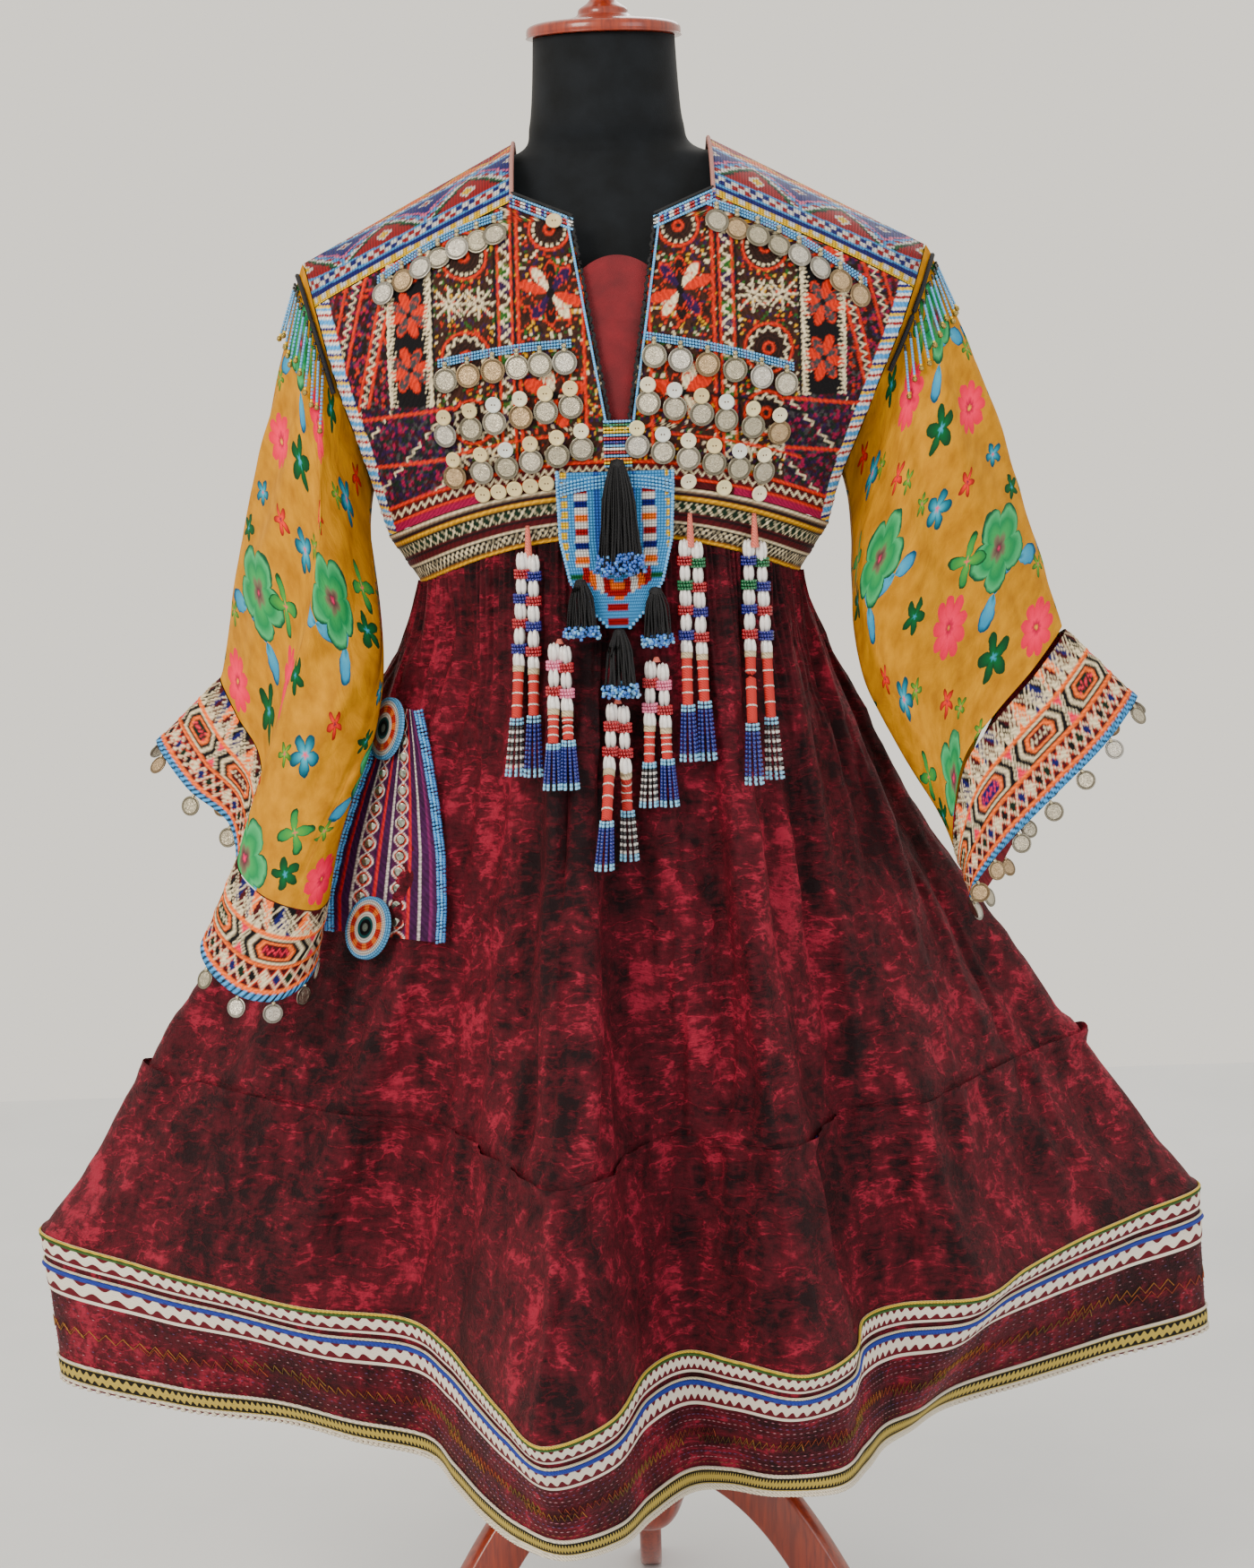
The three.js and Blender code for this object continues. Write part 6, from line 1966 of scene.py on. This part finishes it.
def medallionPattern(x, z):
    # side columns of bars, a zigzag of bars below, sky blue all round
    x, z = inBeads(x, 2.6), inBeads(z, 2.6)
    tint = plain(glass["sky"], x)
    off = np.abs(x + 2)
    bars = np.floor(z / 5.2).astype(int) % 6
    column = (off > 21) & (off < 31) & (z < 1040) & (z > 980)
    for place, code in enumerate(("white", "red", "white", "orange", "white", "navy")):
        beadOver(tint, column & (bars == place), code)
    beadOver(tint, (off > 38) & (off < 41) & (z > 985) & (np.floor(z / 2.6) % 3 > 0), "yellow")
    paint(tint, (off > 12) & (off < 15) & (z > 985), "#3f74c4")
    blocks = (off > 26) & (z < 980)
    for low, code in ((972, "green"), (959, "red"), (948, "green")):
        beadOver(tint, blocks & (np.abs(z - low) < 2.8), code)
    ridge = z - 952 - 0.55 * off
    band = (np.abs(ridge - 8) < 6.5) & (z < 985) & (off < 26)
    beadOver(tint, band, "white")
    beadOver(tint, band & (np.floor(off / 5.2) % 3 == 0), "orange")
    beadOver(tint, band & (np.floor(off / 5.2) % 3 == 1), "red")
    low = (off < 8) & (z < 962)
    beadOver(tint, low & (np.floor(z / 5.2) % 2 == 0), "red")
    return tint


def makeMedallion():
    # a padded beaded shield, edged with beads, hung from rows of beads at the slit's foot
    heights, fronts = frontByHeight("medallion")
    x, z, share = tapered(medallionRows, 90, 70)
    y = np.interp(z, heights, fronts) - 1.2 * (1 - np.abs(2 * share - 1) ** 4)
    piece = clothMesh("medallion", np.stack([x, y, z], -1), seedBeads, (0.088, 0.118), False,
                      medallionPattern(x, z))
    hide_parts("medallion")
    left, right = (np.stack([x[k], z[k]], -1) for k in (0, -1))
    edge = np.concatenate([left[::-1][::2], right[::2]])
    y = np.interp(edge[:, 1], heights, fronts) + 0.8
    copies("medallionEdge", roundBead, np.stack([edge[:, 0], y, edge[:, 1]], -1), np.eye(3),
           [3.4, 3.4, 3.4], glassBeads, glass["sky"], ())
    x = np.tile(np.arange(-46, 43, 2.7), 4)
    z = np.repeat([1040.5, 1043.2, 1045.9, 1048.6], len(x) // 4) - 6 * np.abs(x / 44) ** 2
    y = np.interp(z, heights, fronts) - 1.6
    aim = basis(np.array([1.0, 0, 0]), [0.0, 0.0, 1.0])
    copies("medallionTop", bead, np.stack([x, y, z], -1), aim, [1.5, 1.5, 2.6], glassBeads,
           glass["sky"], ())
    z = np.repeat(np.arange(1056, 1090, 2.6), 9)
    x = np.tile(np.linspace(-9.6, 9.6, 9), len(z) // 9)
    bars = ["sky", "yellow", "orange", "sky", "red", "white", "sky", "navy", "red", "sky",
            "yellow", "yellow", "green", "sky"]
    codes = [glass[bars[int((h - 1056) / 2.6 + 0.5) % len(bars)]] for h in z]
    copies("slitFootBeads", bead, frontPoint(x + 1, z, 2.2), aim, [1.35, 1.35, 2.4], glassBeads,
           codes, ())


def makeTassels():
    # a bound head, then many fine threads that spread and end in sky beads
    looks = [("tassel_middle", 130, 12.0, 1.4, 2.8), ("tassel_left", 60, 9.0, 1.35, 0),
             ("tassel_right", 60, 9.0, 1.35, 0), ("tassel_low", 64, 9.5, 1.35, 0)]
    steps = np.linspace(0, 1, 9)
    for node, strands, radius, spread, lift in looks:
        low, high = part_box(node)
        x = ((low[0] + high[0]) / 2 - poleX) * 1000
        top, foot = high[2] * 1000, low[2] * 1000
        spots = nodeSpots(node)
        head = spots[spots[:, 2] > top - 4, 1].mean()
        tail = spots[spots[:, 2] < foot + 4, 1].mean()
        angle = np.linspace(0, fullTurn * strands / 1.618, strands)
        reach = radius * np.sqrt(random.uniform(0.15, 1, strands))
        flare = ((0.35 + 0.65 * np.sin(np.minimum(steps * 2.2, 1) * np.pi / 2))
                 * lerp(1, spread, steps ** 2))
        paths = []
        for strand in range(strands):
            sway = 1.6 * np.sin(3 * steps + strand) * steps
            length = (top - foot) * random.uniform(0.86, 1.0)
            paths.append(np.stack([
                x + reach[strand] * np.cos(angle[strand]) * flare + sway,
                lerp(head, tail, steps) + reach[strand] * 0.62 * np.sin(angle[strand]) * flare - 1,
                top - length * steps - 1], -1))
        spots, faces = lathed([(0, top), (3.4, top - 1), (5.2, top - 4), (4.4, top - 9),
                               (5.6, top - 13), (0, top - 14)], 14)
        tubes = [tube(path, 0.75, 3) for path in paths]
        cords(node.replace("_", ""), [*tubes, (spots + np.array([x, head, 0]), faces)],
              ["#0e0f14"] * (strands + 1), [node])
        ends = np.repeat(np.array([path[-1] for path in paths]), 3, axis=0)
        ends = ends + random.uniform(-2.6, 2.6, ends.shape) + np.array([0, -0.6, 0])
        ends[:, 2] = np.maximum(ends[:, 2], foot - 3) + lift
        codes = [("#2f6fc4", "#6fb0de")[int(k)] for k in random.random(len(ends)) > 0.55]
        if node == "tassel_middle":
            codes = ["#2b62bd" if random.random() > 0.2 else "#5c9bdc" for _ in codes]
        copies(node.replace("_", "") + "Beads", roundBead, ends, np.eye(3), [3.0, 3.0, 3.0],
               glassBeads, codes, ())


strandLooks = [
    # node, top, bottom, centre at top and bottom for each half, order of the bead rings
    ("bead_strands_1", 1000, 828, ((-74, -85), (-66, -70.5)), ("red", "navy", "red", "navy")),
    ("bead_strands_2", 925, 820, ((-52, -56), (-44, -43)), ("pink", "red")),
    ("bead_strands_3", 878, 762, ((-9, -19), (-1, 0)), ("red", "red")),
    ("bead_strands_4", 908, 800, ((21, 16), (30, 32)), ("red", "pink")),
    ("bead_strands_5", 1006, 833, ((50, 48), (59, 62)), ("red", "green", "red", "navy")),
    ("bead_strands_6", 1003, 814, ((100, 97), (109, 114)), ("navy", "green", "navy", "red")),
]


def strandSpine(node, half, top, bottom):
    # the half's centreline: its corners' mean x and y at each height
    spots = nodeSpots(node)
    heights = np.linspace(bottom, top, 30)
    xs = half[1] + (half[0] - half[1]) * (heights - bottom) / (top - bottom)
    rings = np.unique(np.round(spots[:, 2], 1))
    ys, zs = [], []
    for height in rings:
        here = spots[np.abs(spots[:, 2] - height) < 0.3]
        near = here[np.abs(here[:, 0] - np.interp(height, heights, xs)) < 9]
        if len(near):
            ys.append((near[:, 1].min() + near[:, 1].max()) / 2)
            zs.append(height)
    ys = np.interp(heights, zs, ys)
    return lambda z: np.stack([np.interp(z, heights, xs), np.interp(z, heights, ys), z], -1)


def makeStrands():
    # each half: shells four by four between rings of beads, a ringed rod, then a fringe
    shellOf = lathed([(0, -0.5), (0.3, -0.4), (0.5, -0.12), (0.5, 0.12), (0.3, 0.4), (0, 0.5)], 8)
    shellLength, fringeRows = 14.5, 14
    shells, rings, ringCodes, rods, rodCodes, drops, dropCodes = [], [], [], [], [], [], []

    def addRod(path, radius, sides, code):
        # one more tube among the rods
        rods.append(tube(path, radius, sides))
        rodCodes.append(code)

    for index, (node, top, bottom, halves, order) in enumerate(strandLooks):
        pink = 26 if len(order) == 4 else 3
        spines = [strandSpine(node, half, top, bottom) for half in halves]
        middle = (spines[0](np.array([top]))[0] + spines[1](np.array([top]))[0]) / 2
        z = np.linspace(top + (12 if pink > 10 else 2), top - pink * 0.55, 8)
        path = np.stack([np.full(8, middle[0]), np.full(8, middle[1]), z], -1)
        addRod(path, np.linspace(1.6, 3.2, 8), 8, "#e0705f")
        for half, spine in enumerate(spines):
            z = top - pink * 0.32 - 2 * half
            kinds = order if half == 0 else (*order[1:], order[0])
            for place, kind in enumerate((*kinds, None)):
                centre = spine(np.array([z - shellLength / 2]))[0]
                for turn in range(4):
                    angle = turn * math.pi / 2 + place * 0.7
                    shells.append(centre + [2.5 * math.cos(angle), 2.0 * math.sin(angle),
                                            0.6 * math.sin(5 * angle)])
                z -= shellLength - 1
                if kind is None:
                    break
                centre = spine(np.array([z - 2.6]))[0]
                for level in (-2.5, 0.1, 2.7):
                    angles = fullTurn * np.arange(14) / 14 + level
                    rings += [centre + [5.2 * math.cos(angle), 4.4 * math.sin(angle), level]
                              for angle in angles]
                    ringCodes += [glass[kind]] * 14
                z -= 5.2
            low = bottom + 17 + 0.13 * (top - bottom) + 2 * half
            addRod(spine(np.linspace(z + 1, low, 12)), 4.0, 12, "#c62a22")
            for share in (0.25, 0.5, 0.75):
                level = lerp(z + 1, low, share)
                addRod(spine(np.array([level + 0.6, level - 0.6])), 4.3, 12, "#e4dcd4")
            addRod(spine(np.array([z + 3, z - 1.5])), 4.5, 12, "#cbb894")
            blue = (index + half) % 3 > 0
            foot = spine(np.linspace(low, bottom, fringeRows))
            for strand in range(9):
                angle = fullTurn * strand / 9
                for place in range(fringeRows):
                    flare = 1 + 0.5 * place / (fringeRows - 1)
                    drops.append(foot[place] + [4.4 * flare * math.cos(angle),
                                                3.8 * flare * math.sin(angle), 0])
                    code = "#1b2c86" if blue else ("#d8d6d2" if place % 2 else "#1a1c22")
                    dropCodes.append("#7fc4ea" if place in (0, 1, 12, 13) else code)
    copies("strandShells", shellOf, shells, np.eye(3), [4.7, 4.7, 15.0], glassBeads, "#e3dfdc",
           [look[0] for look in strandLooks])
    copies("strandRings", bead, rings, np.eye(3), [1.35, 1.35, 2.3], glassBeads, ringCodes, ())
    copies("strandDrops", bead, drops, np.eye(3), [1.5, 1.5, 2.5], glassBeads, dropCodes, ())
    cords("strandRods", rods, rodCodes, ())


makeMedallion()
makeTassels()
makeStrands()

print("stage: hanging patch")

patchRows = [[868, -184, -166], [840, -196, -160], [800, -212, -154], [760, -226, -150],
             [720, -236, -150], [694, -236, -152]]
# share across, and pitch in millimetres
mirrorColumns = ((0.26, 13.5), (0.62, 12.5))


def patchPattern(share, z, width):
    # stripes side by side: chain stitch, red and purple, with two columns of mirrors
    u = share * width
    tint = ground("plum", u, z, 121)
    rise = np.zeros(u.shape)
    for place in range(9):
        at = (place + 0.5) / 9 * width
        code = ("#c22b2b", "#cfc8c2", "#7a2d66")[place % 3]
        line = stroke(u - at, 2.4)
        broken = 1 - 0.5 * (np.sin(z * 2.2) > 0.2) * (place % 3 == 1)
        paint(tint, line * broken, code)
        rise += 0.6 * line
    for centre, pitch in mirrorColumns:
        du = u - centre * width
        dz = centred(z, pitch)
        r = np.hypot(du, dz)
        paint(tint, np.abs(du) < 6.5, "#5a2350")
        paint(tint, r < 5.2, "#2b1c22")
        paint(tint, stroke(r - 4.7, 1.6), "#c4452e")
        paint(tint, stroke(np.abs(du) - 6.2 * np.cos(np.pi * dz / pitch), 1.3), "#e2dcd6")
        rise += 0.8 * stroke(r - 4.7, 1.8)
    return tint, rise


def mirrorGlass():
    # small silvered mirror, spotted with age
    material, tree, shader = newMaterial("small silvered mirror")
    spotty = noise(tree, objectPlace(tree), 300.0, 4.0)
    setInputs(tree, shader, {
        "Base Color": ramp(tree, spotty, [(0.3, "#6d7468"), (0.65, "#b9bdb0")]), "Metallic": 0.9,
        "Roughness": addNode(tree, "MapRange", {0: spotty, 3: 0.05, 4: 0.3}).outputs[0]})
    return material


def makePatch():
    # the striped cloth with mirrors down two columns and bead loops at both sides
    heights, _ = frontByHeight("patch")
    x, z, share = tapered(patchRows, 150, 76)
    spots = nodeSpots("patch")
    depth = []
    for height in heights:
        here = spots[np.abs(spots[:, 2] - height) < 1.2]
        order = np.argsort(here[:, 0])
        depth.append([here[order[:3], 1].min(), here[order[-3:], 1].min()])
    depth = np.array(depth)
    y = lerp(np.interp(z, heights, depth[:, 0]), np.interp(z, heights, depth[:, 1]), share)
    y = y - 1.2 * np.sin(np.pi * share)
    tint, rise = patchPattern(share + 0 * z, z, 82)
    points = np.stack([x, y - rise, z], -1)
    piece = clothMesh("hangingPatch", points, embroidery, (0.08, 0.175), False, tint)
    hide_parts("patch")
    spots = []
    for centre, pitch in mirrorColumns:
        for row in np.arange(math.ceil(700 / pitch), math.floor(862 / pitch)) * pitch + pitch / 2:
            place = int(round((row - 694) / 174 * 149))
            spots.append(points[int(round(centre * 75)), place] + [0, -0.9, 0])
    aim = basis(unit(np.array([-0.25, -1.0, -0.1])), [0.0, 0.0, 1.0])
    flatDisc = lathed([(0, -0.4), (0.95, -0.4), (1.0, 0), (0.9, 0.4), (0, 0.42)], 16)
    copies("patchMirrors", flatDisc, spots, aim, [3.9, 3.9, 0.8], mirrorGlass(), "#ffffff", ())
    loops = []
    for way, column in ((-1, 0), (1, -1)):
        for row, spot in enumerate(points[column][::2]):
            loops += [spot + [way * (1.2 + 2.6 * k), -0.6 + 0.5 * math.sin(row * 1.3 + k),
                              0.8 * math.sin(row + k)] for k in range(3)]
    codes = [("#3f8fd0", "#5aa6de", "#2f78bd")[k % 3] for k in range(len(loops))]
    copies("patchLoops", roundBead, loops, np.eye(3), [3.0, 3.0, 3.0], glassBeads, codes, ())


def makePatchDiscs():
    # a domed beaded disc in the plane of each solid's corners, its back edge closed in
    around, rings = 96, 22
    for node in ("patch_disc_lower", "patch_disc_upper"):
        spots = nodeSpots(node)
        centre = spots.mean(axis=0)
        _, vectors = np.linalg.eigh(np.cov((spots - centre).T))
        normal = vectors[:, 0] * (-1 if vectors[1, 0] > 0 else 1)
        axes = basis(normal, [0.0, 0.0, 1.0])
        local = (spots - centre) @ axes.T
        size, thick = np.abs(local[:, :2]).max(), local[:, 2].max()
        r, angle = np.linspace(0, 1, rings)[None, :], circle(around)[:, None]
        rr, aa = r * 25 + 0 * angle, angle + 0 * r
        tint = plain("#cfc8c2", rr)
        for low, high, code in ((0, 3.2, "#98a39a"), (3.2, 6, "#15161c"), (6, 9, "#1f6a6c"),
                                (9, 13, "#e2dcd6"), (13, 18.5, "#c2372b"), (21.5, 26, "#6fb0de")):
            paint(tint, (rr >= low) & (rr < high), code)
        paint(tint, (rr > 13) & (rr < 18.5) & (np.sin(8 * aa) > 0.3), "#e8843a")
        rise = 1.6 * (1 - r ** 3) + thick - 0.8 + 0.5 * np.abs(np.sin(rr * np.pi / 2.4)) * (rr > 3)
        points = (centre + (size * r * np.cos(angle))[..., None] * axes[0]
                  + (size * r * np.sin(angle))[..., None] * axes[1] + rise[..., None] * axes[2])
        points = np.concatenate([points, points[:, -1:] - axes[2] * 2 * thick * 0.8], axis=1)
        tint = np.concatenate([tint, tint[:, -1:]], axis=1)
        name = "patchDisc" + node.split("_")[-1].title()
        piece = clothMesh(name, points, seedBeads, (0.15, 0.03), True, tint,
                          centre - axes[2] * 80)
        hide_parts(node)


makePatch()
makePatchDiscs()

print("stage: finish")
